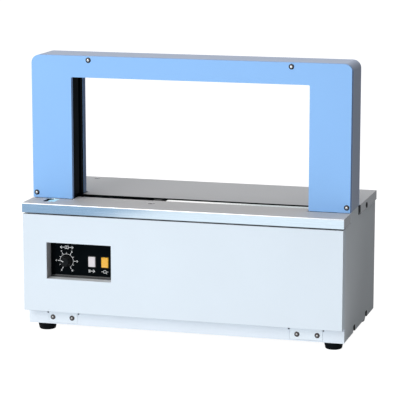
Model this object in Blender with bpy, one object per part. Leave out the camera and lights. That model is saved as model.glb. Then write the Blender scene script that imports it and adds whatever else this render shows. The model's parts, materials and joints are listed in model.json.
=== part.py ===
"""Bench-top tape banding (strapping) machine: a sheet-metal cabinet with a steel table, a rectangular
arch that carries the tape round the bundle, and the feed unit and sealing head under the table.

Frame: metres, +Z up, +X to the operator's right, the operator stands at -Y. The origin is on the
floor under the centre of the cabinet. Sizes are written in millimetres; add_part scales them by MM.
"""
import itertools
import math

import bmesh
import bpy
from mathutils import Matrix, Vector

MM = 0.001

# ---------------------------------------------------------------- shared dimensions (mm)
SIDES = (("left", -1), ("right", 1))
GAP = 0.3                           # clearance between neighbouring parts
SHEET = 1.5                         # cabinet sheet

# Cabinet
WIDTH, DEPTH = 484.4, 248.0         # over the table flanges
HALF_W, HALF_D = WIDTH / 2, DEPTH / 2
FOOT_H = 13.2                       # rubber feet, up to the base's underside
BASE_FRONT = -104.0                 # base strip, set back under the cover
BASE_T = 1.8
MOUNT_Z = FOOT_H + BASE_T + GAP     # underside of what stands in the base tray
COVER_Z0, COVER_Z1 = 36.6, 182.5    # front cover
BASE_TOP = COVER_Z0 - 0.6
PANEL_X = 240.5                     # outer faces of the side panels
SIDE_INNER = PANEL_X - SHEET
TAB_SPANS = ((-209.3, -164.1), (160.2, 208.7))   # the cover's screw tabs, in X
TAB_FRONT = BASE_FRONT - 0.05       # front of the tabs, flush with the strip
COVER_SCREWS = ((-203.0, 23.6), (-173.0, 23.6), (171.0, 23.0), (201.0, 23.0))    # x, z
FLANGE_SCREW = (45.0, 189.9)        # y, z of the screw in each side flange

# Control window
WIN_X0, WIN_X1, WIN_Z0, WIN_Z1 = -204.8, -104.6, 86.5, 141.3
PANEL_Y = -104.0                    # front of the control panel

# Table
TABLE_Z, TABLE_T = 199.0, 1.0       # working surface and sheet
FLANGE = 14.3                       # down-turned edge
SLOT_FRONT, SLOT_REAR = -54.5, -33.5
FRONT_SCREW = (-56.1, -78.5)        # x, y
REAR_SCREWS = ((-202.8, 106.6), (202.8, 106.6))
TRACK_Y = -44.0                     # middle of the 20 mm tape

# Arch
ARCH_TOP, ARCH_X = 413.5, 241.8     # outer height and half width
ARCH_IN_Z, ARCH_IN_X = 381.7, 180.0     # opening height and half width
ARCH_FRONT, ARCH_REAR = -76.0, -12.0
ARCH_RAD, ARCH_IN_RAD = 12.0, 2.0

# Drives
CAM_Z = 110.0                       # cam shaft height
FAN_X, FAN_Z = -150.0, 110.0
INLET_X, INLET_Z = 190.0, 72.0      # power inlet

# name: (base colour, roughness, metallic)
MATERIALS = {
    "white_paint": ((0.80, 0.84, 0.88), 0.35, 0.0),
    "blue_paint": ((0.30, 0.56, 1.0), 0.35, 0.0),
    "grey_paint": ((0.42, 0.45, 0.50), 0.4, 0.0),
    "stainless": ((0.62, 0.62, 0.63), 0.3, 1.0),
    "polished_steel": ((0.85, 0.85, 0.85), 0.08, 1.0),
    "steel": ((0.55, 0.55, 0.57), 0.35, 1.0),
    "zinc": ((0.70, 0.70, 0.68), 0.3, 1.0),
    "black_plastic": ((0.012, 0.015, 0.02), 0.35, 0.0),
    "panel_black": ((0.01, 0.012, 0.016), 0.08, 0.0),
    "rubber": ((0.01, 0.01, 0.012), 0.7, 0.0),
    "white_lens": ((0.80, 0.78, 0.80), 0.3, 0.0),
    "orange_lens": ((0.90, 0.36, 0.02), 0.3, 0.0),
    "brass": ((0.75, 0.58, 0.28), 0.3, 1.0),
    "board_green": ((0.02, 0.18, 0.08), 0.5, 0.0),
    "motor_grey": ((0.25, 0.26, 0.28), 0.45, 0.6),
}


def add_material(name, colour, roughness, metallic):
    mat = bpy.data.materials.new(name)
    mat.use_nodes = True
    shader = mat.node_tree.nodes["Principled BSDF"]
    shader.inputs["Base Color"].default_value = (*colour, 1.0)
    shader.inputs["Roughness"].default_value = roughness
    shader.inputs["Metallic"].default_value = metallic
    return mat


# ---------------------------------------------------------------- shapes
# Puts two cross-section coordinates u, v and a distance t along the axis into x, y, z order.
PLACE = {
    "x": lambda u, v, t: (t, u, v),
    "y": lambda u, v, t: (u, t, v),
    "z": lambda u, v, t: (u, v, t),
}


def box(x0, x1, y0, y1, z0, z1):
    bm = bmesh.new()
    centre = Matrix.Translation(((x0 + x1) / 2, (y0 + y1) / 2, (z0 + z1) / 2))
    size = Matrix.Diagonal((x1 - x0, y1 - y0, z1 - z0, 1))
    bmesh.ops.create_cube(bm, size=1.0, matrix=centre @ size)
    return bm


def span(sign, near, far):
    """The X range from near to far on the left (-1) or right (+1), in rising order."""
    return sorted((sign * near, sign * far))


def side_box(sign, near, far, *yz):
    return box(*span(sign, near, far), *yz)


def prism(points, axis, start, end):
    """Extrudes a closed outline along an axis. Its two numbers are the other two axes in order."""
    bm = bmesh.new()
    place = PLACE[axis]
    face = bm.faces.new([bm.verts.new(place(u, v, start)) for u, v in points])
    grown = bmesh.ops.extrude_face_region(bm, geom=[face])["geom"]
    moved = [item for item in grown if isinstance(item, bmesh.types.BMVert)]
    shift = Vector(place(0, 0, end)) - Vector(place(0, 0, start))
    bmesh.ops.translate(bm, verts=moved, vec=shift)
    return bm


def ring(centre, radius, n, start=0.0):
    angles = [start + 2 * math.pi * i / n for i in range(n)]
    return [(centre[0] + radius * math.cos(a), centre[1] + radius * math.sin(a)) for a in angles]


def cylinder(axis, centre, radius, start, end, n):
    """centre holds the two coordinates of the centre line, in axis order."""
    return prism(ring(centre, radius, n, math.pi / n), axis, start, end)


def screw_hole(axis, centre, start, end, radius=2.3):
    return cylinder(axis, centre, radius, start, end, 12)


def turned(profile, axis, centre, n):
    """A turned solid. profile is [(distance along the axis, radius)]; open ends are capped."""
    bm = bmesh.new()
    place = PLACE[axis]
    rows = []
    for t, radius in profile:
        points = ring(centre, radius, n) if radius else [centre]
        rows.append([bm.verts.new(place(*point, t)) for point in points])
    for low, high in zip(rows, rows[1:]):
        for i in range(n):
            j = (i + 1) % n
            if len(low) == 1:
                bm.faces.new((low[0], high[i], high[j]))
            elif len(high) == 1:
                bm.faces.new((low[i], low[j], high[0]))
            else:
                bm.faces.new((low[i], low[j], high[j], high[i]))
    if len(rows[0]) > 1:
        bm.faces.new(rows[0][::-1])
    if len(rows[-1]) > 1:
        bm.faces.new(rows[-1])
    return bm


# ---------------------------------------------------------------- objects and modifiers
def add_part(name, bm, mat=None, origin=(0, 0, 0), smooth=None):
    """Makes an object from a bmesh in mm world coordinates, with its origin at a point in mm.
    With smooth, it is shaded smooth except at edges sharper than that many degrees."""
    bmesh.ops.recalc_face_normals(bm, faces=bm.faces)
    bmesh.ops.translate(bm, verts=bm.verts, vec=-Vector(origin))
    bmesh.ops.scale(bm, verts=bm.verts, vec=(MM, MM, MM))
    mesh = bpy.data.meshes.new(name)
    bm.to_mesh(mesh)
    bm.free()
    part = bpy.data.objects.new(name, mesh)
    part.location = Vector(origin) * MM
    if mat:
        mesh.materials.append(bpy.data.materials[mat])
    if smooth:
        mesh.shade_smooth()
        mesh.set_sharp_from_angle(angle=math.radians(smooth))
    bpy.context.scene.collection.objects.link(part)
    return part


tool_numbers = itertools.count(1)


def boolean(part, bm, operation):
    """Adds a live boolean whose tool is a hidden wire object. Tools are numbered in build order."""
    number = next(tool_numbers)
    tool = add_part(f"{part.name}_tool_{number}", bm)
    tool.hide_render = True
    tool.display_type = "WIRE"
    mod = part.modifiers.new(f"{operation.lower()}_{number}", "BOOLEAN")
    mod.operation = operation
    mod.solver = "EXACT"
    mod.object = tool


def cut(part, bm):
    boolean(part, bm, "DIFFERENCE")


def join(part, bm):
    boolean(part, bm, "UNION")


def bevel(part, width):
    """Soft edges on a casting or a moulding."""
    mod = part.modifiers.new("edge", "BEVEL")
    mod.width = width * MM
    mod.segments = 1
    mod.limit_method = "ANGLE"
    mod.angle_limit = math.radians(40)


# ---------------------------------------------------------------- base, feet and cabinet
BASE_X, BASE_REAR = 238.4, 120.0
COVER_X, COVER_FRONT = 241.1, -123.6
TAB_T = 1.2
PANEL_REAR, PANEL_TOP = 121.0, 197.6
LIP_X = 222.0                       # inner edge of the side panels' lips
THROUGH = (230.0, 245.0)            # a cut from near to far through a side sheet
NOTCH_Y = (-30.4, 61.2)             # notches in the cabinet's lower side edges


def build_base():
    blank_top, beyond = FOOT_H + 40, FOOT_H + 60
    base = add_part("base_tray", box(-BASE_X, BASE_X, BASE_FRONT, BASE_REAR, FOOT_H, blank_top),
                    "white_paint")
    inner_x = BASE_X - BASE_T
    cut(base, box(-inner_x, inner_x, BASE_FRONT + BASE_T, BASE_REAR - BASE_T,
                  FOOT_H + BASE_T, beyond))
    join(base, box(-240.8, 240.8, BASE_FRONT, BASE_FRONT + BASE_T, FOOT_H, blank_top))
    cut(base, box(-250, 250, -130, 130, BASE_TOP, beyond))
    for x0, x1 in TAB_SPANS:        # the strip is set back behind each tab
        join(base, box(x0 - 1.6, x1 + 1.6, BASE_FRONT + 1.45, BASE_FRONT + 3.1,
                       FOOT_H + 0.5, BASE_TOP))
        cut(base, box(x0 - GAP, x1 + GAP, BASE_FRONT - 5, BASE_FRONT + 1.45, 15.2, COVER_Z0 + 5))
        for x in (x0 - 1.2, x1 + 1.2):      # bend reliefs
            cut(base, box(x - 1.4, x + 1.4, BASE_FRONT - 5, BASE_FRONT + 5, 29.4, COVER_Z0 + 5))
    return base


def build_feet(base):
    seat = FOOT_H - GAP
    plug_top = FOOT_H + 6
    profile = [(0, 0), (0, 10.9), (1.6, 12.4), (10.6, 14.5), (seat, 14.7), (seat, 2.2),
               (plug_top, 2.0), (plug_top, 0)]
    for side, sign in SIDES:
        for end, y in (("front", -80.0), ("rear", 89.0)):
            x = sign * 220.5
            add_part(f"foot_{end}_{side}", turned(profile, "z", (x, y), 20), "rubber",
                     (x, y, 0), smooth=35)
            cut(base, screw_hole("z", (x, y), FOOT_H - 5, FOOT_H + 5, 2.6))


def build_front_cover(base):
    cover = add_part("front_cover", box(-COVER_X, COVER_X, COVER_FRONT, BASE_FRONT - GAP,
                                        COVER_Z0, COVER_Z1), "white_paint")
    cut(cover, box(-COVER_X + SHEET, COVER_X - SHEET, COVER_FRONT + SHEET, -90,
                   COVER_Z0 + SHEET, COVER_Z1 - SHEET))
    # folded frame round the control window
    join(cover, box(WIN_X0 - SHEET, WIN_X1 + SHEET, -122.8, PANEL_Y - GAP,
                    WIN_Z0 - SHEET, WIN_Z1 + SHEET))
    cut(cover, box(WIN_X0, WIN_X1, -130, -95, WIN_Z0, WIN_Z1))
    tab_rear = TAB_FRONT + TAB_T
    for x0, x1 in TAB_SPANS:        # screw tabs folded down into the base strip
        join(cover, box(x0, x1, BASE_FRONT - 1.5, tab_rear, COVER_Z0, COVER_Z0 + SHEET))
        join(cover, box(x0, x1, TAB_FRONT, tab_rear, 15.5, COVER_Z0 + 1.0))
    for centre in COVER_SCREWS:
        cut(cover, screw_hole("y", centre, -125, -100))
        cut(base, screw_hole("y", centre, -106, -100))
    for x0, x1 in TAB_SPANS:        # bend reliefs beside each tab
        for x in (x0 - 1.0, x1 + 1.0):
            cut(cover, box(x - 1.1, x + 1.1, BASE_FRONT - 5.5, -100, 30, COVER_Z0 + 3.0))


def build_side_panel(side, sign):
    front = BASE_FRONT + GAP
    panel = add_part(f"side_panel_{side}", side_box(sign, SIDE_INNER, PANEL_X, front, PANEL_REAR,
                                                    FOOT_H + 0.3, PANEL_TOP), "white_paint")
    # raised edge under the arch, clearance for the base strip, slot behind the arch foot
    join(panel, side_box(sign, SIDE_INNER, PANEL_X, ARCH_FRONT + 1, ARCH_REAR - 1, 190.0, 198.7))
    cut(panel, side_box(sign, *THROUGH, BASE_FRONT - 1, BASE_FRONT + BASE_T + GAP,
                        0.0, COVER_Z0 - GAP))
    cut(panel, side_box(sign, *THROUGH, ARCH_REAR + 1.4, ARCH_REAR + 7.8, 184.5, 200.0))
    # lips folded inward: y0, y1, z0
    for y0, y1, z0 in ((-3.0, PANEL_REAR, 196.1),
                       (front, front + SHEET, COVER_Z0 + 2),
                       (PANEL_REAR - SHEET, PANEL_REAR, COVER_Z0 + 2)):
        join(panel, side_box(sign, LIP_X, SIDE_INNER + 0.5, y0, y1, z0, PANEL_TOP))
    for y in NOTCH_Y:
        cut(panel, side_box(sign, *THROUGH, y - 6.2, y + 6.2, 0.0, FOOT_H + 10.0))
    cut(panel, screw_hole("x", FLANGE_SCREW, *span(sign, *THROUGH)))
    if side == "left":              # tape inlet
        cut(panel, side_box(sign, *THROUGH, -57.0, -31.0, 158.0, 169.0))
    return panel


def build_rear_panel():
    rear = add_part("rear_panel", box(-PANEL_X, PANEL_X, 121.3, 122.7, FOOT_H + 0.3, 197.4),
                    "white_paint")
    for i in range(7):              # fan grille, slots filling a circle
        z = FAN_Z - 24 + 8 * i
        half = math.sqrt(27.0 ** 2 - (z - FAN_Z) ** 2)
        cut(rear, box(FAN_X - half, FAN_X + half, 110, 130, z - 1.8, z + 1.8))
    for i in range(6):              # air slots
        cut(rear, box(-30 + 14 * i, -25 + 14 * i, 110, 130, 60, 110))
    cut(rear, box(INLET_X - 14.5, INLET_X + 14.5, 110, 130, INLET_Z - 26.5, INLET_Z + 26.5))


# ---------------------------------------------------------------- tables
NOTCH_X = ARCH_IN_X - 0.8           # inner edge of the notches for the arch feet
FINGER_X0, FINGER_X1, FINGER_Y0, FINGER_Y1 = -217.0, -197.0, -104.0, -80.0
FRONT_HEAD, REAR_HEAD = 4.9, 4.4    # countersink radii at the surface


def countersink(centre, radius, lower_radius):
    profile = [(TABLE_Z + 1, radius), (TABLE_Z - 0.4, radius), (TABLE_Z - 1.1, lower_radius),
               (TABLE_Z - 5, 2.3)]
    return turned(profile, "z", centre, 14)


def build_front_table():
    table = add_part("front_table", box(-HALF_W, HALF_W, -HALF_D, SLOT_FRONT,
                                        TABLE_Z - FLANGE, TABLE_Z), "stainless", (0, -90, TABLE_Z))
    cut(table, box(-HALF_W + TABLE_T, HALF_W - TABLE_T, -HALF_D + TABLE_T, SLOT_FRONT - TABLE_T,
                   TABLE_Z - 30, TABLE_Z - TABLE_T))
    # leaves only a low lip along the slot
    cut(table, box(-250, 250, SLOT_FRONT - TABLE_T - 0.2, 0, TABLE_Z - 30, TABLE_Z - 3.0))
    for sign in (-1, 1):            # arch notch and its corner relief
        cut(table, side_box(sign, NOTCH_X, 260, ARCH_FRONT - 1.2, 0, 150, 230))
        corner = (sign * (NOTCH_X - 0.6), ARCH_FRONT - 1.4)
        cut(table, cylinder("z", corner, 1.5, 180, 230, 10))
    # finger opening with a lip pressed down towards its left edge
    cut(table, box(FINGER_X0, FINGER_X1, FINGER_Y0, FINGER_Y1, 190, 210))
    tip = FINGER_X0 + 2.6
    lip = [(FINGER_X1 + 1.0, TABLE_Z), (FINGER_X1 - 0.5, TABLE_Z),
           (tip, TABLE_Z - 2.2), (tip, TABLE_Z - 3.2),
           (FINGER_X1 - 0.2, TABLE_Z - 1.0), (FINGER_X1 + 1.0, TABLE_Z - 1.0)]
    join(table, prism(lip, "y", FINGER_Y0 - 0.4, FINGER_Y1 + 0.4))
    cut(table, countersink(FRONT_SCREW, FRONT_HEAD, 4.2))


def build_rear_table():
    table = add_part("rear_table", box(-HALF_W, HALF_W, SLOT_REAR, HALF_D,
                                       TABLE_Z - FLANGE, TABLE_Z), "stainless")
    cut(table, box(-HALF_W + TABLE_T, HALF_W - TABLE_T, SLOT_REAR + TABLE_T, HALF_D - TABLE_T,
                   TABLE_Z - 30, TABLE_Z - TABLE_T))
    # low lip along the slot, cut away completely at the anvil's tongue
    lip_rear = SLOT_REAR + TABLE_T + 0.2
    cut(table, box(-250, 250, SLOT_REAR - 5, lip_rear, TABLE_Z - 30, TABLE_Z - 2.2))
    cut(table, box(-66, -48, SLOT_REAR - 5, lip_rear, TABLE_Z - 30, TABLE_Z - TABLE_T))
    for sign in (-1, 1):
        cut(table, side_box(sign, NOTCH_X, 260, -60, ARCH_REAR + 8.0, 150, 230))
        cut(table, screw_hole("x", FLANGE_SCREW, *span(sign, 230.0, 250.0)))
    for centre in REAR_SCREWS:
        cut(table, countersink(centre, REAR_HEAD, 3.8))


def build_slide_strip():
    strip = add_part("slide_strip", box(-41.5, 178.6, SLOT_FRONT + GAP, -42.6,
                                        TABLE_Z - 4.5, TABLE_Z - 0.1), "polished_steel")
    for x in (0.0, 75.0, 150.0):    # feet that reach back under the rear table
        join(strip, box(x, x + 12, SLOT_FRONT + 4, -26.0, TABLE_Z - 7.0, TABLE_Z - 4.0))


def build_lower_guide():
    guide = add_part("lower_guide", box(-178.6, -96.0, SLOT_FRONT + 1.0, SLOT_REAR - 0.5,
                                        TABLE_Z - 10.0, TABLE_Z - 4.0), "black_plastic")
    cut(guide, box(-190, -50, -54.0, -34.5, TABLE_Z - 6.5, TABLE_Z))
    join(guide, box(-150, -130, -35.0, -22.0, TABLE_Z - 10.0, TABLE_Z - 7.0))


# ---------------------------------------------------------------- fasteners
def button_screw(name, axis, seat, centre, into, length=8.0, head=3.9, high=2.1, mat="zinc"):
    """A button-head screw. seat is the coordinate of the face its head sits on, into is +1 or -1,
    the way its shank goes; head is the head's radius and high its height."""
    out = -into
    shank = 2.0
    top = GAP + high
    profile = [(seat + out * top, 0.0), (seat + out * top, 1.5),
               (seat + out * (GAP + high * 0.8), 2.7), (seat + out * (GAP + high * 0.4), head * 0.93),
               (seat + out * GAP, head), (seat + out * GAP, shank),
               (seat + into * length, shank), (seat + into * length, 0.0)]
    screw = add_part(name, turned(profile, axis, centre, 12), mat, PLACE[axis](*centre, seat),
                     smooth=30)
    socket = sorted((seat + out * (top + 1), seat + out * (top - 1.0)))
    cut(screw, prism(ring(centre, 1.35, 6), axis, *socket))


def countersunk_screw(name, centre, opening):
    """A cross-slot screw in the table; opening is the radius of its countersink."""
    x, y = centre
    head = opening - 0.35
    profile = [(TABLE_Z - 0.15, 0.0), (TABLE_Z - 0.15, head), (TABLE_Z - 0.55, head),
               (TABLE_Z - 2.2, 2.0), (TABLE_Z - 12, 2.0), (TABLE_Z - 12, 0.0)]
    screw = add_part(name, turned(profile, "z", centre, 12), "zinc", (x, y, TABLE_Z), smooth=30)
    for half_x, half_y in ((2.6, 0.5), (0.5, 2.6)):
        cut(screw, box(x - half_x, x + half_x, y - half_y, y + half_y, TABLE_Z - 1.1, TABLE_Z + 1))


def build_cabinet_screws(panels):
    for i, centre in enumerate(COVER_SCREWS, 1):
        button_screw(f"cover_screw_{i}", "y", TAB_FRONT, centre, 1)
    for side, sign in SIDES:
        button_screw(f"flange_screw_{side}", "x", sign * HALF_W, FLANGE_SCREW, -sign,
                     length=6.0, head=3.6, high=1.0, mat="black_plastic")
        cut(panels[side], screw_hole("x", FLANGE_SCREW, *span(sign, 220.0, 245.0), 2.4))
    countersunk_screw("table_screw_front", FRONT_SCREW, FRONT_HEAD)
    for (side, _), centre in zip(SIDES, REAR_SCREWS):
        countersunk_screw(f"table_screw_rear_{side}", centre, REAR_HEAD)


# ---------------------------------------------------------------- arch
ARCH_FRONT_DEPTH, ARCH_REAR_DEPTH = 7.3, 12.0   # front cover reaches back, rear cover forward
ARCH_BOTTOM = TABLE_Z + 0.35
ARCH_T = 1.2
ARC_STEPS = 6
ARCH_SCREWS = ((-153.0, 407.5), (153.0, 407.5), (-236.0, 206.9), (236.0, 206.9))    # x, z


def quarter(x, z, radius, start):
    angles = [start + (math.pi / 2) * i / ARC_STEPS for i in range(ARC_STEPS + 1)]
    return [(x + radius * math.cos(a), z + radius * math.sin(a)) for a in angles]


def inverted_u(half, top, corner, bottom):
    """An open path in X and Z, up the right side, across the top and down the left side."""
    return [(half, bottom), *quarter(half - corner, top - corner, corner, 0.0),
            *quarter(-half + corner, top - corner, corner, math.pi / 2), (-half, bottom)]


def outer_u(inset, bottom):
    return inverted_u(ARCH_X - inset, ARCH_TOP - inset, ARCH_RAD - inset, bottom)[::-1]


def arch_face(inset, outset, bottom):
    """The arch's whole face: outer outline moved in by inset, opening grown by outset."""
    return outer_u(inset, bottom) + inverted_u(ARCH_IN_X + outset, ARCH_IN_Z + outset,
                                               ARCH_IN_RAD + outset, bottom)


def arch_band(inset, thickness):
    """A band of that thickness inside the arch's outer outline."""
    depth = inset + thickness
    return outer_u(inset, ARCH_BOTTOM) + inverted_u(
        ARCH_X - depth, ARCH_TOP - depth, max(ARCH_RAD - depth, 0.4), ARCH_BOTTOM)


def build_arch():
    whole = arch_face(0, 0, ARCH_BOTTOM)
    front = add_part("arch_front_cover",
                     prism(whole, "y", ARCH_FRONT, ARCH_FRONT + ARCH_FRONT_DEPTH), "blue_paint")
    cut(front, prism(arch_face(ARCH_T, ARCH_T, 100), "y", ARCH_FRONT + ARCH_T, ARCH_FRONT + 20))
    rear = add_part("arch_rear_cover",
                    prism(whole, "y", ARCH_REAR - ARCH_REAR_DEPTH, ARCH_REAR), "blue_paint")
    # the cut runs out past the outer side, which has no return
    cut(rear, prism(arch_face(-2.0, ARCH_T, 100), "y", ARCH_REAR - 30, ARCH_REAR - ARCH_T))

    rim = add_part("arch_rim", prism(arch_band(0, 3.0), "y", ARCH_FRONT + ARCH_FRONT_DEPTH + GAP,
                                     ARCH_REAR - ARCH_T - GAP), "grey_paint")
    inset = ARCH_T + GAP
    join(rim, prism(arch_band(inset, 1.5), "y", ARCH_FRONT + 3.0, ARCH_REAR - 3.0))
    for y in (ARCH_FRONT + 3.0, ARCH_REAR - 4.5):
        join(rim, prism(arch_band(inset, 18.0), "y", y, y + 1.5))
        for sign in (-1, 1):        # tongues that go down inside the cabinet
            join(rim, side_box(sign, 221.5, 237.8, y, y + 1.5, 150.0, ARCH_BOTTOM + 8.0))
    for i, centre in enumerate(ARCH_SCREWS, 1):
        cut(front, screw_hole("y", centre, ARCH_FRONT - 5, ARCH_FRONT + 20))
        cut(rim, screw_hole("y", centre, ARCH_FRONT - 5, ARCH_FRONT + 9))
        button_screw(f"arch_screw_{i}", "y", ARCH_FRONT, centre, 1, length=6.5, head=3.7)


# Black guides that hold the tape, and the flaps it pulls open
GUIDE_FRONT, GUIDE_REAR, GUIDE_BOTTOM = -68.2, -24.4, 187.0
GUIDE_DEPTH, TRACK_DEPTH = 14.0, 7.5
TRACK_CORNER = 24.0
SEAM_Y = -43.5                      # rear edge of the flap pockets
FLAP_T, BEAD_R = 2.0, 1.0           # flap thickness, hinge bead radius
HINGE_Y = GUIDE_FRONT + 2.6
SIDE_FLAP_Z = (203.0, 379.0)
TOP_FLAP_X = (-166.0, 166.0)


def build_guides():
    guides = {}
    outer = ARCH_IN_X + GUIDE_DEPTH
    blanks = {side: side_box(sign, ARCH_IN_X + GAP, outer, GUIDE_FRONT, GUIDE_REAR,
                             GUIDE_BOTTOM, ARCH_IN_Z) for side, sign in SIDES}
    blanks["top"] = box(-outer, outer, GUIDE_FRONT, GUIDE_REAR,
                        ARCH_IN_Z + GAP, ARCH_IN_Z + GUIDE_DEPTH)
    deep = GAP + FLAP_T + TRACK_DEPTH
    for place, blank in blanks.items():
        guides[place] = add_part(f"guide_{place}", blank, "black_plastic")
        track = inverted_u(ARCH_IN_X + deep, ARCH_IN_Z + deep, TRACK_CORNER, 100)
        cut(guides[place], prism(track, "y", SLOT_FRONT, SLOT_REAR))
    return guides


def build_flaps(guides):
    # Outline across the hinge, as (depth into the guide, y): the leaf, then a bead about the pin.
    steps = 8
    bead = [math.pi * k / steps for k in range(1, steps)]
    leaf = [(GAP, SEAM_Y - 0.35), (GAP + FLAP_T, SEAM_Y - 0.35), (GAP + FLAP_T, HINGE_Y),
            *[(GAP + BEAD_R + BEAD_R * math.cos(a), HINGE_Y - BEAD_R * math.sin(a)) for a in bead],
            (GAP, HINGE_Y)]
    pin = GAP + BEAD_R              # depth of the hinge pin
    pocket_y = (HINGE_Y - BEAD_R - 0.35, SEAM_Y)
    pocket_depth = GAP + FLAP_T + 0.45

    low, high = SIDE_FLAP_Z
    for side, sign in SIDES:
        cut(guides[side], side_box(sign, ARCH_IN_X - 3, ARCH_IN_X + pocket_depth, *pocket_y,
                                   low - 0.5, high + 0.5))
        outline = [(sign * (ARCH_IN_X + depth), y) for depth, y in leaf]
        add_part(f"flap_{side}", prism(outline, "z", low, high), "black_plastic",
                 (sign * (ARCH_IN_X + pin), HINGE_Y, low), smooth=30)

    left, right = TOP_FLAP_X
    cut(guides["top"], box(left - 0.5, right + 0.5, *pocket_y,
                           ARCH_IN_Z - 3, ARCH_IN_Z + pocket_depth))
    outline = [(y, ARCH_IN_Z + depth) for depth, y in leaf]
    add_part("flap_top", prism(outline, "x", left, right), "black_plastic",
             (left, HINGE_Y, ARCH_IN_Z + pin), smooth=30)


# ---------------------------------------------------------------- control panel
KNOB = (-180.2, 110.7)              # x, z
POINTER = math.radians(65.0)        # the pointer rests this far left of straight up
BUTTON_Z = 111.6
BUTTONS = (("feed_button", -140.5, "white_lens"), ("reset_button", -120.2, "orange_lens"))


def build_panel_face():
    face = add_part("panel_face", box(WIN_X0 - 4, WIN_X1 + 4, PANEL_Y, PANEL_Y + 2.5,
                                      WIN_Z0 - 4, WIN_Z1 + 4), "panel_black")
    cut(face, cylinder("y", KNOB, 3.6, -110, -95, 16))
    for _, x, _ in BUTTONS:
        cut(face, box(x - 6.0, x + 6.0, -110, -95, BUTTON_Z - 8.2, BUTTON_Z + 8.2))


def build_knob():
    x, z = KNOB
    profile = [(-116.0, 0), (-116.0, 5.6), (-115.2, 6.6), (-109.0, 7.3), (-106.6, 7.6),
               (-106.0, 8.6), (PANEL_Y - 0.5, 8.6), (PANEL_Y - 0.5, 3.0), (-95.0, 3.0), (-95.0, 0)]
    knob = add_part("tension_knob", turned(profile, "y", KNOB, 28), "black_plastic",
                    (x, PANEL_Y, z), smooth=30)
    sin, cos = math.sin(POINTER), math.cos(POINTER)
    # pointer groove: distance along the pointer from the axis, and across it
    groove = ((2.5, -0.45), (7.2, -0.45), (7.2, 0.45), (2.5, 0.45))
    points = [(x - sin * along + cos * across, z + cos * along + sin * across)
              for along, across in groove]
    cut(knob, prism(points, "y", -117.0, -115.5))


def build_buttons():
    for name, x, mat in BUTTONS:
        button = add_part(name, box(x - 5.5, x + 5.5, -106.4, PANEL_Y + 1.5,
                                    BUTTON_Z - 7.7, BUTTON_Z + 7.7), mat, (x, PANEL_Y, BUTTON_Z))
        bevel(button, 0.6)
        join(button, box(x - 3, x + 3, -104.0, -95.5, BUTTON_Z - 3, BUTTON_Z + 3))


def build_switch_board():
    board = add_part("switch_board", box(-200.0, -108.0, -92.0, -90.4, 94.0, 130.0), "board_green")
    join(board, cylinder("y", KNOB, 8.5, -100.0, -91.5, 20))
    cut(board, cylinder("y", KNOB, 3.5, -105.0, -94.0, 16))
    for _, x, _ in BUTTONS:         # switch bodies that take the button stems
        join(board, box(x - 7, x + 7, -100.0, -91.5, BUTTON_Z - 9, BUTTON_Z + 9))
        cut(board, box(x - 3.6, x + 3.6, -105, -92.6, BUTTON_Z - 3.6, BUTTON_Z + 3.6))
    for x in (-196.0, -112.0):      # posts towards the back of the panel face
        join(board, cylinder("y", (x, 127.0), 2.5, PANEL_Y + 2.8, -91.5, 10))


# ---------------------------------------------------------------- sealing head
HEAD_X0, HEAD_X1, HEAD_FRONT, HEAD_REAR = -116.0, -8.0, -74.0, -8.0
HEAD_WALL = 4.0
SHAFT_AXIS = (TRACK_Y, CAM_Z)
CAM_R0 = 16.0                       # base circle
CAM_SWEEP = math.radians(150.0)     # the modelled rise of the cams
CAM_STEPS = 8
ROLL_R = 5.0                        # foot of each slider
SLIDER_HALF_Y = 10.0
# name, x, half thickness, half cam width, lift, top at the front, top at the rear, material
SLIDERS = (
    ("gripper_left", -88.0, 6.0, 4.0, 6.0, 186.0, 186.0, "steel"),
    ("cutter_blade", -70.0, 3.0, 2.0, 7.5, 186.0, 182.5, "steel"),
    ("heater_press", -57.0, 6.0, 4.0, 7.0, 185.0, 185.0, "brass"),
    ("gripper_right", -32.0, 6.0, 4.0, 6.0, 186.0, 186.0, "steel"),
)
ANVIL_CAM_X, ANVIL_LIFT = -105.0, 4.5
LEVER_PIVOT = (-14.0, 84.0)         # y, z


def build_head_frame():
    frame = add_part("head_frame", box(HEAD_X0, HEAD_X1, HEAD_FRONT, HEAD_REAR,
                                       MOUNT_Z, FOOT_H + 6.0), "steel")
    for x in (HEAD_X0, HEAD_X1 - HEAD_WALL):
        join(frame, box(x, x + HEAD_WALL, HEAD_FRONT, HEAD_REAR, FOOT_H + 3, 184.0))
    join(frame, box(HEAD_X0 + 2, HEAD_X1 - 2, -60.0, -28.0, 158.0, 172.0))
    slot_y = SLIDER_HALF_Y + GAP
    for _, x, half, *_ in SLIDERS:
        cut(frame, box(x - half - GAP, x + half + GAP, TRACK_Y - slot_y, TRACK_Y + slot_y,
                       150, 180))
    cut(frame, cylinder("x", SHAFT_AXIS, 5.4, -130, 10, 20))
    join(frame, box(HEAD_X0, HEAD_X1, -12.0, HEAD_REAR, FOOT_H + 3, 60.0))
    cut(frame, box(ANVIL_CAM_X - 5, ANVIL_CAM_X + 5, -20, 0, 62, 200))
    return frame


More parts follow.
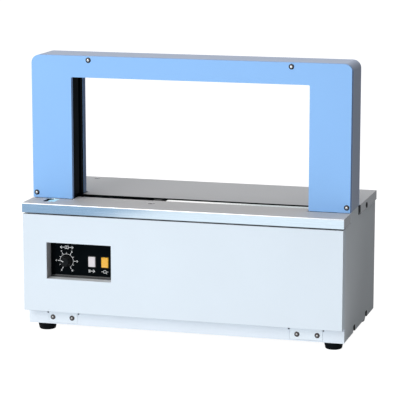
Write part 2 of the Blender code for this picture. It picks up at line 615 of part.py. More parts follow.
def cam(lift, x, half, turn=0.0):
    """A plate cam that rises in proportion to its angle over the sweep, then eases back down.
    Angles run from +Z towards +Y; the rise begins at turn."""
    rate = lift / CAM_SWEEP
    polar = []
    for i in range(CAM_STEPS * 2 + 1):
        angle = math.radians(-20) + (CAM_SWEEP + math.radians(35)) * i / (CAM_STEPS * 2)
        polar.append((angle, CAM_R0 + rate * angle))
    angle1, radius1 = polar[-1]
    angle2, radius2 = polar[0][0] + 2 * math.pi, polar[0][1]
    for i in range(1, CAM_STEPS):
        t = i / CAM_STEPS
        ease = t * t * (3 - 2 * t)
        polar.append((angle1 + (angle2 - angle1) * t, radius1 + (radius2 - radius1) * ease))
    points = [(TRACK_Y + radius * math.sin(angle + turn), CAM_Z + radius * math.cos(angle + turn))
              for angle, radius in polar]
    return prism(points, "x", x - half, x + half)


def build_cam_shaft():
    shaft = add_part("cam_shaft", cylinder("x", SHAFT_AXIS, 5.0, -122.0, 9.0, 20), "steel",
                     (0, TRACK_Y, CAM_Z), smooth=30)
    for _, x, _, half, lift, *_ in SLIDERS:
        join(shaft, cam(lift, x, half))
    join(shaft, cam(ANVIL_LIFT, ANVIL_CAM_X, 3, turn=math.radians(90)))


def build_sliders():
    foot = CAM_Z + CAM_R0 + 0.45
    front, rear = TRACK_Y - SLIDER_HALF_Y, TRACK_Y + SLIDER_HALF_Y
    for name, x, half, _, _, top_front, top_rear, mat in SLIDERS:
        roll = cylinder("x", (TRACK_Y, foot + ROLL_R), ROLL_R, x - half, x + half, 16)
        slider = add_part(name, roll, mat, (x, TRACK_Y, foot))
        stem = [(TRACK_Y - 6, foot + 3), (TRACK_Y + 6, foot + 3), (rear, foot + 9),
                (rear, top_rear), (front, top_front), (front, foot + 9)]
        join(slider, prism(stem, "x", x - half, x + half))
        if name.startswith("gripper"):
            for i in range(4):      # grooves between the grip teeth
                groove = x - 4.5 + 3 * i
                cut(slider, box(groove - 0.5, groove + 0.5, -60, -30,
                                top_front - 0.8, top_front + 1))


def build_anvil(frame):
    """The sliding anvil, and the rails and table support that the head frame carries."""
    anvil = add_part("anvil_plate", box(-115.0, -9.0, -32.0, -16.0, 193.6, 195.4),
                     "polished_steel", (-57, -24, 194))
    join(anvil, box(-63.0, -51.0, -52.0, -31.0, 193.6, 195.4))
    join(anvil, box(-63.0, -51.0, -52.0, -36.0, 195.0, 197.6))
    for x in (HEAD_X0, HEAD_X1 - HEAD_WALL):    # the rails it slides on
        join(frame, box(x, x + HEAD_WALL, -33.2, 8.0, 181.0, 193.2))
    join(frame, box(HEAD_X0 + 2, HEAD_X1 - 2, HEAD_FRONT, -71.0, 174.0, 189.0))
    join(frame, box(-66.0, -46.0, -86.0, -72.0, 185.5, 189.0))
    cut(frame, screw_hole("z", FRONT_SCREW, 180.0, 192.0, 2.4))
    # fork that the lever's tip pushes
    join(anvil, box(ANVIL_CAM_X - 4.5, ANVIL_CAM_X + 4.5, -24.0, -16.0, 186.5, 194.0))
    cut(anvil, box(ANVIL_CAM_X - 6, ANVIL_CAM_X + 6, -22.4, -17.6, 180.0, 192.6))


def build_anvil_lever(frame):
    follower_y = TRACK_Y + CAM_R0 + 0.45        # the follower's face on the cam's rear side
    x0, x1 = ANVIL_CAM_X - 2.5, ANVIL_CAM_X + 2.5
    lever = add_part("anvil_lever", cylinder("x", (follower_y + 4.0, CAM_Z), 4.0, x0, x1, 16),
                     "steel", (ANVIL_CAM_X, *LEVER_PIVOT))
    # y, z
    outline = [(-18.0, 80.0), (-10.0, 80.0), (-9.5, 90.0), (-17.5, 112.0), (-18.4, 180.0),
               (-18.8, 191.0), (-21.2, 191.0), (-21.6, 180.0), (-24.0, 106.0), (-18.5, 90.0)]
    join(lever, prism(outline, "x", x0, x1))
    cut(lever, cylinder("x", LEVER_PIVOT, 3.3, ANVIL_CAM_X - 10, ANVIL_CAM_X + 10, 16))
    join(frame, cylinder("x", LEVER_PIVOT, 3.0, HEAD_X0 + 3, ANVIL_CAM_X + 6, 16))


def build_cam_motor():
    motor = add_part("cam_motor", box(12.0, 46.0, TRACK_Y - 28, TRACK_Y + 28,
                                      CAM_Z - 28, CAM_Z + 28), "motor_grey")
    bevel(motor, 2.0)
    join(motor, cylinder("x", SHAFT_AXIS, 25.0, 45.0, 106.0, 28))
    cut(motor, cylinder("x", SHAFT_AXIS, 5.4, 5.0, 20.0, 20))
    join(motor, box(-7.6, 14.0, -70.0, -64.0, CAM_Z - 26, CAM_Z + 26))


# ---------------------------------------------------------------- feed unit
FEED_X, FEED_Z, FEED_R = -150.0, 148.0, 15.0
PINCH_R = 10.0
PINCH_Z = FEED_Z + FEED_R + 0.4 + PINCH_R   # pinch roller, 0.4 above the feed roller
FEED_AXIS, PINCH_AXIS = (FEED_X, FEED_Z), (FEED_X, PINCH_Z)
ARM_X = -178.0                      # pinch arm's pivot
ARM_PIVOT = (ARM_X, PINCH_Z)


def build_feed_bracket():
    bracket = add_part("feed_bracket", box(-205.0, -124.0, -26.0, -23.0, MOUNT_Z, 186.0), "steel")
    join(bracket, box(-205.0, -124.0, -26.0, -6.0, MOUNT_Z, FOOT_H + 5.0))
    cut(bracket, cylinder("y", FEED_AXIS, 4.4, -30, -20, 16))
    join(bracket, cylinder("y", ARM_PIVOT, 3.0, -32.6, -25.0, 16))
    for z in (160.0, 165.0):        # tape chute, floor and roof
        join(bracket, box(-232.0, -192.0, -56.0, -25.0, z, z + 1.5))


def build_rollers():
    profile = [(-59.0, 0), (-59.0, 4.0), (-56.0, 4.0), (-56.0, FEED_R - 0.8), (-55.2, FEED_R),
               (-32.8, FEED_R), (-32.0, FEED_R - 0.8), (-32.0, 4.0), (-18.0, 4.0), (-18.0, 0)]
    feed = add_part("feed_roller", turned(profile, "y", FEED_AXIS, 32), "rubber",
                    (FEED_X, TRACK_Y, FEED_Z), smooth=30)
    cut(feed, box(FEED_X - 1.0, FEED_X + 1.0, -62, -57.5, FEED_Z - 5, FEED_Z + 5))
    pinch = add_part("pinch_roller", cylinder("y", PINCH_AXIS, PINCH_R, -56.0, -32.4, 28),
                     "steel", (FEED_X, TRACK_Y, PINCH_Z), smooth=30)
    cut(pinch, cylinder("y", PINCH_AXIS, 3.35, -60, -30, 20))


def build_pinch_arm():
    lower = [(ARM_X - 6, -5), (ARM_X, -7), (FEED_X, -5.5), (FEED_X + 6, -3)]   # x, z from axis
    upper = [(x, -z) for x, z in reversed(lower)]
    outline = [(x, PINCH_Z + z) for x, z in lower + upper]
    arm = add_part("pinch_arm", prism(outline, "y", -32.0, -28.0), "steel", (ARM_X, -30, PINCH_Z))
    cut(arm, cylinder("y", ARM_PIVOT, 3.35, -40, -20, 20))
    join(arm, cylinder("y", PINCH_AXIS, 3.0, -58.0, -30.0, 20))


def build_feed_motor():
    motor = add_part("feed_motor", box(FEED_X - 22, FEED_X + 22, -22.6, 6.0,
                                       FEED_Z - 22, FEED_Z + 22), "motor_grey")
    bevel(motor, 2.0)
    join(motor, cylinder("y", FEED_AXIS, 20.0, 5.0, 48.0, 28))
    cut(motor, cylinder("y", FEED_AXIS, 4.4, -30.0, -14.0, 16))


# ---------------------------------------------------------------- power and control
# x0, x1, z0, z1, height above the board
BOARD_BLOCKS = ((70, 95, 112, 130, 14), (100, 120, 112, 140, 22), (130, 160, 150, 170, 10),
                (170, 190, 115, 165, 18), (72, 92, 150, 176, 12))
ROCKER_Y, ROCKER_Z = 117.0, INLET_Z + 14.0      # power switch's axis
ROCKER_LEAN = math.radians(8.0)
FAN_AXIS = (FAN_X, FAN_Z)
FAN_BLADES = 7


def build_power_supply():
    supply = add_part("power_supply", box(140.0, 200.0, -60.0, -10.0, MOUNT_Z, FOOT_H + 6.0),
                      "steel")
    join(supply, box(148.0, 192.0, -55.0, -15.0, FOOT_H + 5.0, 70.0))
    join(supply, box(154.0, 186.0, -62.0, -8.0, 30.0, 60.0))


def build_control_board():
    board = add_part("control_board", box(60.0, 200.0, 98.0, 99.6, 104.0, 184.0), "board_green")
    for x0, x1, z0, z1, height in BOARD_BLOCKS:
        join(board, box(x0, x1, 98.0 - height, 98.5, z0, z1))
    for x in (66.0, 194.0):         # posts towards the rear panel
        for z in (110.0, 178.0):
            join(board, cylinder("y", (x, z), 3.0, 99.0, 121.0, 10))


def build_power_inlet():
    def block(half_x, y0, y1, z0, z1):
        return box(INLET_X - half_x, INLET_X + half_x, y0, y1, INLET_Z + z0, INLET_Z + z1)

    inlet = add_part("power_inlet", block(17, 122.9, 123.9, -29, 29), "black_plastic")
    join(inlet, block(14, 98.0, 123.5, -26, 26))
    cut(inlet, block(11, 106.0, 130, -22, -4))
    for dx, rise in ((-7.0, 0), (0.0, 4), (7.0, 0)):    # contact pins, the middle one higher
        x, z = INLET_X + dx, INLET_Z + rise
        join(inlet, box(x - 1, x + 1, 105.0, 120.0, z - 16, z - 11))
    cut(inlet, block(11, 110.0, 130, 5, 23))


def build_power_switch():
    # y, z from the axis, before it leans
    outline = ((-3.0, -4.0), (5.6, -8.1), (4.2, 0.0), (5.6, 8.1), (-3.0, 4.0))
    sin, cos = math.sin(ROCKER_LEAN), math.cos(ROCKER_LEAN)
    leaned = [(ROCKER_Y + y * cos - z * sin, ROCKER_Z + y * sin + z * cos) for y, z in outline]
    add_part("power_switch", prism(leaned, "x", INLET_X - 10.4, INLET_X + 10.4), "black_plastic",
             (INLET_X, ROCKER_Y, ROCKER_Z))


def rotate(bm, angle, axis):
    turn = Matrix.Rotation(angle, 3, axis)
    bmesh.ops.rotate(bm, verts=bm.verts, cent=(0, 0, 0), matrix=turn)


def on_fan(bm, angle, y):
    """Turns a shape built along +X about the fan's axis and moves it into place."""
    rotate(bm, -angle, "Y")
    bmesh.ops.translate(bm, verts=bm.verts, vec=(FAN_X, y, FAN_Z))
    return bm


def build_fan():
    housing = add_part("fan_housing", box(FAN_X - 30, FAN_X + 30, 105.0, 120.8,
                                          FAN_Z - 30, FAN_Z + 30), "black_plastic")
    cut(housing, cylinder("y", FAN_AXIS, 27.5, 97, 127, 32))
    for i in range(3):              # spokes that carry the hub
        spoke = box(9.0, 29.0, 105.0, 107.0, -1.6, 1.6)
        join(housing, on_fan(spoke, math.radians(30 + 120 * i), 0))
    join(housing, cylinder("y", FAN_AXIS, 11.0, 105.0, 107.0, 20))
    join(housing, cylinder("y", FAN_AXIS, 2.0, 106.0, 118.0, 12))

    rotor = add_part("fan_rotor", cylinder("y", FAN_AXIS, 11.0, 107.6, 119.6, 24),
                     "black_plastic", (FAN_X, 114, FAN_Z), smooth=30)
    for i in range(FAN_BLADES):
        blade = box(9.5, 25.5, -6.5, 6.5, -0.9, 0.9)
        rotate(blade, math.radians(52), "X")
        join(rotor, on_fan(blade, 2 * math.pi * i / FAN_BLADES, 113.6))
    cut(rotor, cylinder("y", FAN_AXIS, 2.4, 102, 118.4, 14))


# ---------------------------------------------------------------- build
def build_machine():
    base = build_base()
    build_feet(base)
    build_front_cover(base)
    panels = {side: build_side_panel(side, sign) for side, sign in SIDES}
    build_rear_panel()

    build_front_table()
    build_rear_table()
    build_slide_strip()
    build_lower_guide()
    build_cabinet_screws(panels)

    build_arch()
    build_flaps(build_guides())

    build_panel_face()
    build_knob()
    build_buttons()
    build_switch_board()

    frame = build_head_frame()
    build_cam_shaft()
    build_sliders()
    build_anvil(frame)
    build_anvil_lever(frame)
    build_cam_motor()

    build_feed_bracket()
    build_rollers()
    build_pinch_arm()
    build_feed_motor()

    build_power_supply()
    build_control_board()
    build_power_inlet()
    build_power_switch()
    build_fan()


for old in list(bpy.data.objects):
    bpy.data.objects.remove(old, do_unlink=True)
for material_name, settings in MATERIALS.items():
    add_material(material_name, *settings)
build_machine()
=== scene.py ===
"""A bench-top banding machine: a white cabinet with a stainless table, a blue arch over it
and a control panel low on the front left.

Metres, +Z up. The front faces -Y, left is -X, and the feet stand on z = 0. Mesh sizes are in
mm and are multiplied by MM; sizes inside materials are in metres.
"""

import json
import math
import random
from functools import cached_property

import bpy
import bmesh
from mathutils import Matrix, Vector


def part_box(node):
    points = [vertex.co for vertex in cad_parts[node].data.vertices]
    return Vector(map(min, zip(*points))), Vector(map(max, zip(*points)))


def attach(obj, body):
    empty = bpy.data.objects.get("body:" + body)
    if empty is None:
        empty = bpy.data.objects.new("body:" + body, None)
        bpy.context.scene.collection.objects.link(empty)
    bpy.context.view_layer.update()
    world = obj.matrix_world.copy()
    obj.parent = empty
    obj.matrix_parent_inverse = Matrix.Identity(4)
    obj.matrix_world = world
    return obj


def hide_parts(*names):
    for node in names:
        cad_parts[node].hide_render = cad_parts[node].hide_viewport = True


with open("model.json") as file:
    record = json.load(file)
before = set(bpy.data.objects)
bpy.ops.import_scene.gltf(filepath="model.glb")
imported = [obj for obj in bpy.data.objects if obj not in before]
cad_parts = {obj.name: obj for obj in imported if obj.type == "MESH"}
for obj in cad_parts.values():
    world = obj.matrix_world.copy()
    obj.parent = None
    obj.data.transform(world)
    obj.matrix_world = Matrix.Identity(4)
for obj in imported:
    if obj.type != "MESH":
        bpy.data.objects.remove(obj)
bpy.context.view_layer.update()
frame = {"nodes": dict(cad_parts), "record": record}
NODES = frame["nodes"]
MM = 0.001
SIDES = (("left", -1), ("right", 1))
random.seed(7)

scene = bpy.context.scene
scene.view_settings.view_transform = "Standard"
scene.view_settings.look = "None"
scene.view_settings.exposure = 0.0
scene.view_settings.gamma = 1.0


# ================================================================ node helpers
class Graph:
    """Wires any node tree."""

    def __init__(self, tree):
        self.tree = tree
        tree.nodes.clear()

    def put(self, socket, value):
        """Links a socket, or sets its value; colours are given as three numbers."""
        if isinstance(value, bpy.types.NodeSocket):
            self.tree.links.new(value, socket)
        elif socket.type == "RGBA":
            socket.default_value = (*value, 1.0)
        else:
            socket.default_value = value

    def add(self, kind, inputs=None, **settings):
        """A new node; inputs maps a socket's name or number to a value or another socket."""
        node = self.tree.nodes.new(kind)
        for key, value in settings.items():
            setattr(node, key, value)
        for key, value in (inputs or {}).items():
            self.put(node.inputs[key], value)
        return node

    def math(self, operation, a, b=0.0, clamp=False):
        node = self.add("ShaderNodeMath", {0: a, 1: b}, operation=operation, use_clamp=clamp)
        return node.outputs[0]

    def plus(self, a, b):
        return self.math("ADD", a, b)

    def times(self, a, b):
        return self.math("MULTIPLY", a, b)

    def separate(self, vector):
        return self.add("ShaderNodeSeparateXYZ", {0: vector}).outputs

    def choose(self, test, no, yes):
        """Mixes two shaders by test."""
        return self.add("ShaderNodeMixShader", {0: test, 1: no, 2: yes}).outputs[0]


class Material(Graph):
    """A new material with the patterns and masks the finishes are made of."""

    def __init__(self, name):
        self.block = bpy.data.materials.new(name)
        self.block.use_nodes = True
        super().__init__(self.block.node_tree)

    @cached_property
    def coord(self):
        return self.add("ShaderNodeTexCoord").outputs["Object"]

    def geometry(self, output):
        return self.add("ShaderNodeNewGeometry").outputs[output]

    def mapped(self, scale, rot=(0, 0, 0)):
        inputs = {"Scale": scale, "Rotation": rot, "Vector": self.coord}
        return self.add("ShaderNodeMapping", inputs).outputs["Vector"]

    def noise(self, scale, detail, rough, vector=None, distortion=0.0):
        inputs = {"Scale": scale, "Detail": detail, "Roughness": rough,
                  "Distortion": distortion, "Vector": vector or self.coord}
        return self.add("ShaderNodeTexNoise", inputs).outputs["Fac"]

    def cell_borders(self, scale, vector):
        """Distance to the nearest border of a Voronoi pattern."""
        node = self.add("ShaderNodeTexVoronoi", {"Scale": scale, "Vector": vector},
                        feature="DISTANCE_TO_EDGE")
        return node.outputs["Distance"]

    def span(self, value, over, to=(0.0, 1.0), smooth=False):
        """Maps the range over onto the range to, held at its ends."""
        inputs = {"Value": value, "From Min": over[0], "From Max": over[1],
                  "To Min": to[0], "To Max": to[1]}
        kind = "SMOOTHSTEP" if smooth else "LINEAR"
        node = self.add("ShaderNodeMapRange", inputs, clamp=True, interpolation_type=kind)
        return node.outputs["Result"]

    def mix(self, under, over, mask, share=None):
        """Lays the colour over on under where mask is 1, at most by share."""
        if share is not None:
            mask = self.times(mask, share)
        node = self.add("ShaderNodeMix", data_type="RGBA", clamp_factor=True)
        for key, value in ((0, mask), (6, under), (7, over)):
            self.put(node.inputs[key], value)
        return node.outputs[2]

    def bump(self, height, strength, distance):
        inputs = {"Strength": strength, "Distance": distance, "Height": height}
        return self.add("ShaderNodeBump", inputs).outputs["Normal"]

    def edges(self, radius):
        """1 along outer edges and bends, 0 on flats."""
        bevel = self.add("ShaderNodeBevel", {"Radius": radius}, samples=6)
        dot = self.add("ShaderNodeVectorMath",
                       {0: bevel.outputs["Normal"], 1: self.geometry("Normal")},
                       operation="DOT_PRODUCT")
        turned = self.math("SUBTRACT", 1.0, dot.outputs["Value"])
        return self.span(turned, over=(0.02, 0.35))

    def inside(self, box, soft=0.0001):
        """1 inside a box (low corner, high corner) of the whole scene's frame, 0 outside."""
        axes = self.separate(self.geometry("Position"))
        total = None
        for i, (low, high) in enumerate(zip(*box)):
            above = self.span(axes[i], over=(low - soft, low + soft))
            below = self.span(axes[i], over=(high - soft, high + soft), to=(1.0, 0.0))
            both = self.times(above, below)
            total = both if total is None else self.times(total, both)
        return total

    def paint_zones(self, base, zones):
        """Recolours each (box, colour) of zones."""
        for box, colour in zones:
            base = self.mix(base, colour, self.inside(box))
        return base

    def output(self, shader):
        self.add("ShaderNodeOutputMaterial", {"Surface": shader})
        return self.block

    def principled(self, **inputs):
        inputs = {key.replace("_", " "): value for key, value in inputs.items()}
        return self.output(self.add("ShaderNodeBsdfPrincipled", inputs).outputs["BSDF"])


def scaled(colour, by, lift=0.0):
    return tuple(min(1.0, c * by + lift) for c in colour)


# ================================================================ finishes
def powder_coat(name, colour, worn, rough, coat=0.25, spec=0.45, zones=(), side_shade=None):
    """Baked paint: faint orange peel, uneven gloss, dark flecks and rubbed edges.
    The argument for faces turned away from front and rear gives them a painted shade colour."""
    mat = Material(name)
    cloud = mat.noise(scale=9.0, detail=4.0, rough=0.55)
    coarse_peel = mat.times(mat.noise(scale=260.0, detail=2.0, rough=0.5), 0.8)
    peel = mat.plus(mat.noise(scale=900.0, detail=2.0, rough=0.5), coarse_peel)
    fleck = mat.span(mat.noise(scale=2600.0, detail=2.0, rough=0.6), over=(0.64, 0.72))
    scuff = mat.noise(scale=140.0, detail=5.0, rough=0.7,
                      vector=mat.mapped(scale=(0.35, 1.0, 1.0), rot=(0.2, 0.5, 0.3)))
    scuff = mat.span(scuff, over=(0.66, 0.74))
    patchy = mat.span(mat.noise(scale=60.0, detail=4.0, rough=0.6), over=(0.40, 0.62))
    edge = mat.times(mat.edges(radius=0.0011), patchy)

    base = mat.mix(colour, scaled(colour, by=0.975), mat.span(cloud, over=(0.35, 0.7)))
    base = mat.mix(base, scaled(colour, by=0.80), fleck, share=0.18)
    base = mat.mix(base, worn, edge, share=0.30)
    # painted shade on faces turned away from front and rear
    if side_shade:
        facing_y = mat.math("ABSOLUTE", mat.separate(mat.geometry("True Normal"))[1])
        base = mat.mix(base, side_shade, mat.span(facing_y, over=(0.15, 0.5), to=(1.0, 0.0)))
    base = mat.paint_zones(base, zones)
    gloss = mat.span(cloud, over=(0.3, 0.7), to=(rough - 0.04, rough + 0.05))
    return mat.principled(Base_Color=base, Roughness=mat.plus(gloss, mat.times(scuff, 0.10)),
                          Normal=mat.bump(peel, strength=0.11, distance=0.0002),
                          Coat_Weight=coat, Coat_Roughness=0.22, Specular_IOR_Level=spec)


def brushed_steel(name, top_colour, zones):
    """Stainless brushed along X, with cloudy smears and small cross scratches.
    Level faces are duller and take top_colour. Faces at the ends in X get a darker painted shade."""
    tint = (0.66, 0.665, 0.68)
    light, dark = scaled(tint, by=1.05), scaled(tint, by=0.90)
    rough_side, rough_top = 0.09, 0.58
    metal_side, metal_top = 1.0, 0.30
    mat = Material(name)
    long_grain = mat.noise(scale=1.0, detail=3.0, rough=0.6,
                           vector=mat.mapped(scale=(14.0, 3600.0, 3600.0)))
    short_grain = mat.noise(scale=1.0, detail=2.0, rough=0.5,
                            vector=mat.mapped(scale=(55.0, 1500.0, 1500.0)))
    grain = mat.plus(mat.times(long_grain, 0.6), mat.times(short_grain, 0.4))
    smear = mat.noise(scale=13.0, detail=4.0, rough=0.6, distortion=0.4)
    scratch = mat.cell_borders(scale=55.0,
                               vector=mat.mapped(scale=(1.0, 0.15, 1.0), rot=(0.0, 0.0, 0.6)))
    scratch = mat.span(scratch, over=(0.0, 0.004), to=(1.0, 0.0))
    geo = mat.add("ShaderNodeNewGeometry").outputs
    facing = mat.separate(geo["True Normal"])
    level = mat.span(facing[2], over=(0.93, 0.985))
    end_face_shade = mat.span(mat.math("ABSOLUTE", facing[0]), over=(0.85, 0.95))
    top_grain = mat.span(grain, over=(0.30, 0.70), to=(0.10, 0.0))

    base = mat.mix(dark, light, mat.span(grain, over=(0.36, 0.64)))
    base = mat.mix(base, dark, mat.span(smear, over=(0.52, 0.75)), share=0.16)
    base = mat.mix(base, light, scratch, share=0.10)
    base = mat.mix(base, top_colour, level)
    base = mat.mix(base, (0.2, 0.2, 0.2), level, share=top_grain)
    # painted shade on the end faces
    base = mat.mix(base, scaled(tint, by=0.80), end_face_shade)
    base = mat.paint_zones(base, zones)
    uneven = mat.plus(mat.span(grain, over=(0.3, 0.7), to=(-0.04, 0.05)),
                      mat.span(smear, over=(0.45, 0.8), to=(0.0, 0.06)))
    rough = mat.plus(mat.span(level, over=(0.0, 1.0), to=(rough_side, rough_top)), uneven)
    brushing = (0.98, 0.19, 0.05)
    tangent = mat.add("ShaderNodeVectorMath", {0: geo["Normal"], 1: brushing},
                      operation="CROSS_PRODUCT")
    return mat.principled(Base_Color=base, Roughness=rough,
                          Metallic=mat.span(level, over=(0.0, 1.0), to=(metal_side, metal_top)),
                          Normal=mat.bump(grain, strength=0.08, distance=0.00008),
                          Anisotropic=0.4, Tangent=tangent.outputs[0])


def slide_metal(name):
    """Bright slide: paler with a painted glow at the left, standing in for a highlight; duller
    and more metallic towards its right end.
    """
    mat = Material(name)
    far = mat.span(mat.separate(mat.coord)[0], over=(0.015, 0.10))
    grain = mat.noise(scale=1.0, detail=3.0, rough=0.6,
                      vector=mat.mapped(scale=(14.0, 3600.0, 3600.0)))
    # painted highlight: paler towards the left end
    base = mat.mix((0.97, 0.965, 0.95), (0.70, 0.80, 0.82), far)
    base = mat.mix(base, (0.6, 0.6, 0.6), mat.span(grain, over=(0.35, 0.65)), share=0.12)
    return mat.principled(Base_Color=base, Specular_IOR_Level=0.9,
                          Metallic=mat.span(far, over=(0.0, 1.0), to=(0.15, 0.8)),
                          Roughness=mat.span(grain, over=(0.3, 0.7), to=(0.22, 0.34)),
                          Normal=mat.bump(grain, strength=0.03, distance=0.00005),
                          # painted glow, strongest at the left
                          Emission_Color=(1.0, 0.99, 0.97),
                          Emission_Strength=mat.span(far, over=(0.0, 1.0), to=(0.42, 0.12)))


def plain_metal(name, tint, rough):
    """Plated or machined metal: fine uneven lay, a few dull spots, brighter edges."""
    mat = Material(name)
    fine = mat.noise(scale=1800.0, detail=3.0, rough=0.6)
    blot = mat.noise(scale=60.0, detail=4.0, rough=0.6)
    base = mat.mix(tint, scaled(tint, by=0.8), mat.span(blot, over=(0.5, 0.75)))
    base = mat.mix(base, scaled(tint, by=1.25), mat.edges(radius=0.0005), share=0.6)
    gloss = mat.plus(mat.span(fine, over=(0.3, 0.7), to=(rough - 0.05, rough + 0.06)),
                     mat.span(blot, over=(0.5, 0.8), to=(0.0, 0.08)))
    return mat.principled(Base_Color=base, Metallic=1.0, Roughness=gloss,
                          Normal=mat.bump(fine, strength=0.08, distance=0.00006))


def dark_screw(name):
    """A bronzed screw head with a painted highlight on its crown, the part facing front."""
    mat = Material(name)
    dot = mat.add("ShaderNodeVectorMath", {0: mat.geometry("Normal"), 1: (0.0, -1.0, 0.0)},
                  operation="DOT_PRODUCT")
    # painted highlight: faces turned to the front are painted near white
    crown = mat.span(dot.outputs["Value"], over=(0.90, 0.97))
    fine = mat.noise(scale=1800.0, detail=3.0, rough=0.6)
    base = mat.mix((0.10, 0.085, 0.08), (0.98, 0.95, 0.93), crown)
    base = mat.mix(base, (0.3, 0.28, 0.27), mat.span(fine, over=(0.4, 0.7)), share=0.25)
    return mat.principled(Base_Color=base, Metallic=0.9,
                          Roughness=mat.span(fine, over=(0.3, 0.7), to=(0.24, 0.36)),
                          Normal=mat.bump(fine, strength=0.08, distance=0.00006))


def moulded(name, tint, rough, edge=0.06, spec=0.10):
    """Moulded plastic: fine grain and slightly paler edges."""
    mat = Material(name)
    pits = mat.noise(scale=2400.0, detail=2.0, rough=0.55)
    wave = mat.noise(scale=22.0, detail=3.0, rough=0.5)
    pale = scaled(tint, by=1.12, lift=0.0015)
    base = mat.mix(tint, pale, mat.span(wave, over=(0.35, 0.7)))
    base = mat.mix(base, (0.5, 0.5, 0.5), mat.edges(radius=0.0006), share=edge)
    gloss = mat.plus(mat.span(wave, over=(0.3, 0.7), to=(rough - 0.05, rough + 0.06)),
                     mat.times(mat.span(pits, over=(0.4, 0.7)), 0.05))
    return mat.principled(Base_Color=base, Roughness=gloss,
                          Normal=mat.bump(pits, strength=0.15, distance=0.00008),
                          Coat_Weight=0.0, Coat_Roughness=0.1, Specular_IOR_Level=spec)


def rubber(name, tint):
    """Gritty matt rubber with some dust."""
    mat = Material(name)
    grit = mat.noise(scale=1300.0, detail=4.0, rough=0.7)
    dust = mat.noise(scale=70.0, detail=5.0, rough=0.65)
    base = mat.mix(tint, scaled(tint, by=1.0, lift=0.02), mat.span(dust, over=(0.50, 0.78)))
    return mat.principled(Base_Color=base, Specular_IOR_Level=0.12,
                          Roughness=mat.span(dust, over=(0.3, 0.8), to=(0.52, 0.75)),
                          Normal=mat.bump(grit, strength=0.35, distance=0.0001))


def glossy_panel(name):
    """Glossy black overlay with smears; its lowest strip reflects more."""
    clear_strip = ((-0.2100, -0.110, 0.080), (-0.1000, -0.1030, 0.08955))
    mat = Material(name)
    smear = mat.noise(scale=46.0, detail=4.0, rough=0.6, distortion=0.8)
    film = mat.noise(scale=1500.0, detail=2.0, rough=0.5)
    base = mat.mix((0.0012, 0.0022, 0.0032), (0.0024, 0.0036, 0.0050),
                   mat.span(smear, over=(0.45, 0.75)))
    clear = mat.inside(clear_strip, soft=0.0002)
    return mat.principled(Base_Color=base,
                          Roughness=mat.span(smear, over=(0.35, 0.8), to=(0.06, 0.12)),
                          Normal=mat.bump(film, strength=0.02, distance=0.00005),
                          Specular_IOR_Level=mat.span(clear, over=(0.0, 1.0), to=(0.02, 0.5)),
                          IOR=mat.span(clear, over=(0.0, 1.0), to=(1.45, 1.9)))


def ink(name, tint):
    """Printed ink with slightly uneven cover and a faint painted glow."""
    mat = Material(name)
    cover = mat.noise(scale=2800.0, detail=2.0, rough=0.6)
    base = mat.mix(tint, scaled(tint, by=0.82), mat.span(cover, over=(0.58, 0.75)))
    # painted glow that brightens the print
    return mat.principled(Base_Color=base, Roughness=0.5,
                          Normal=mat.bump(cover, strength=0.1, distance=0.00005),
                          Emission_Color=tint, Emission_Strength=0.10)


def lens(name, tint, glow):
    """Translucent button cap with a faint grid moulded in it and a painted glow set by glow."""
    pitch = 0.0011
    mat = Material(name)
    axes = mat.separate(mat.coord)
    wave_x = mat.math("SINE", mat.times(axes[0], 2 * math.pi / pitch))
    wave_z = mat.math("SINE", mat.times(axes[2], 2 * math.pi / pitch))
    grid = mat.times(wave_x, wave_z)
    cloud = mat.span(mat.noise(scale=300.0, detail=3.0, rough=0.5), over=(0.45, 0.7))
    base = mat.mix(scaled(tint, by=0.90), tint, mat.span(grid, over=(-1.0, 1.0)))
    base = mat.mix(base, scaled(tint, by=0.86), cloud, share=0.3)
    return mat.principled(Base_Color=base, Roughness=0.22, Coat_Weight=0.5, Coat_Roughness=0.08,
                          Normal=mat.bump(grid, strength=0.05, distance=0.00005),
                          Emission_Color=tint, Emission_Strength=glow)


def circuit(name):
    """Green board with paler tracks."""
    mat = Material(name)
    cells = mat.cell_borders(scale=260.0, vector=mat.mapped(scale=(1.0, 0.02, 1.0)))
    track = mat.span(cells, over=(0.02, 0.05), to=(1.0, 0.0))
    return mat.principled(Base_Color=mat.mix((0.012, 0.11, 0.045), (0.04, 0.26, 0.10), track),
                          Roughness=0.35, Coat_Weight=0.3,
                          Normal=mat.bump(track, strength=0.3, distance=0.00005))


# ================================================================ recoloured zones (metres)
# painted shade: near black for openings and slits that lie in shadow
SHADE_BLACK = (0.004, 0.004, 0.004)
GAP_SHADE = (0.006, 0.009, 0.009)
OPENING_Y = (-0.0304, 0.0612)  # two openings low on each side


def patch(x, y, half, z):
    """A box round (x, y) with half sizes half, over the heights z."""
    return ((x - half[0], y - half[1], z[0]), (x + half[0], y + half[1], z[1]))


COVER_ZONES = [
    # painted shade: grey upright strip at the panel's left edge
    (((-0.2064, -0.1220, 0.0850), (-0.2040, -0.090, 0.1430)), (0.36, 0.355, 0.36)),
    # level strip under the panel: painted light in front, painted shade behind
    (((-0.2046, -0.1222, 0.0850), (-0.1040, -0.1085, 0.0869)), (0.96, 0.98, 1.0)),
    (((-0.2046, -0.1085, 0.0850), (-0.1040, -0.1000, 0.0869)), (0.07, 0.075, 0.09)),
]
# painted light: pale areas low at the left and right of the cover's front, lifting the shade
# under the cover
COVER_ZONES += [(((x0, -0.1056, 0.0145), (x1, -0.1020, 0.0364)), (0.845, 0.925, 0.995))
                for x0, x1 in ((-0.2100, -0.1634), (0.1595, 0.2094))]

SIDE_X = 0.2397
# painted shade: the two openings low on each side are painted near black
SIDE_ZONES = [(patch(s * SIDE_X, y, half=(0.0011, 0.0066), z=(0.0130, 0.0236)), SHADE_BLACK)
              for s in (-1, 1) for y in OPENING_Y]
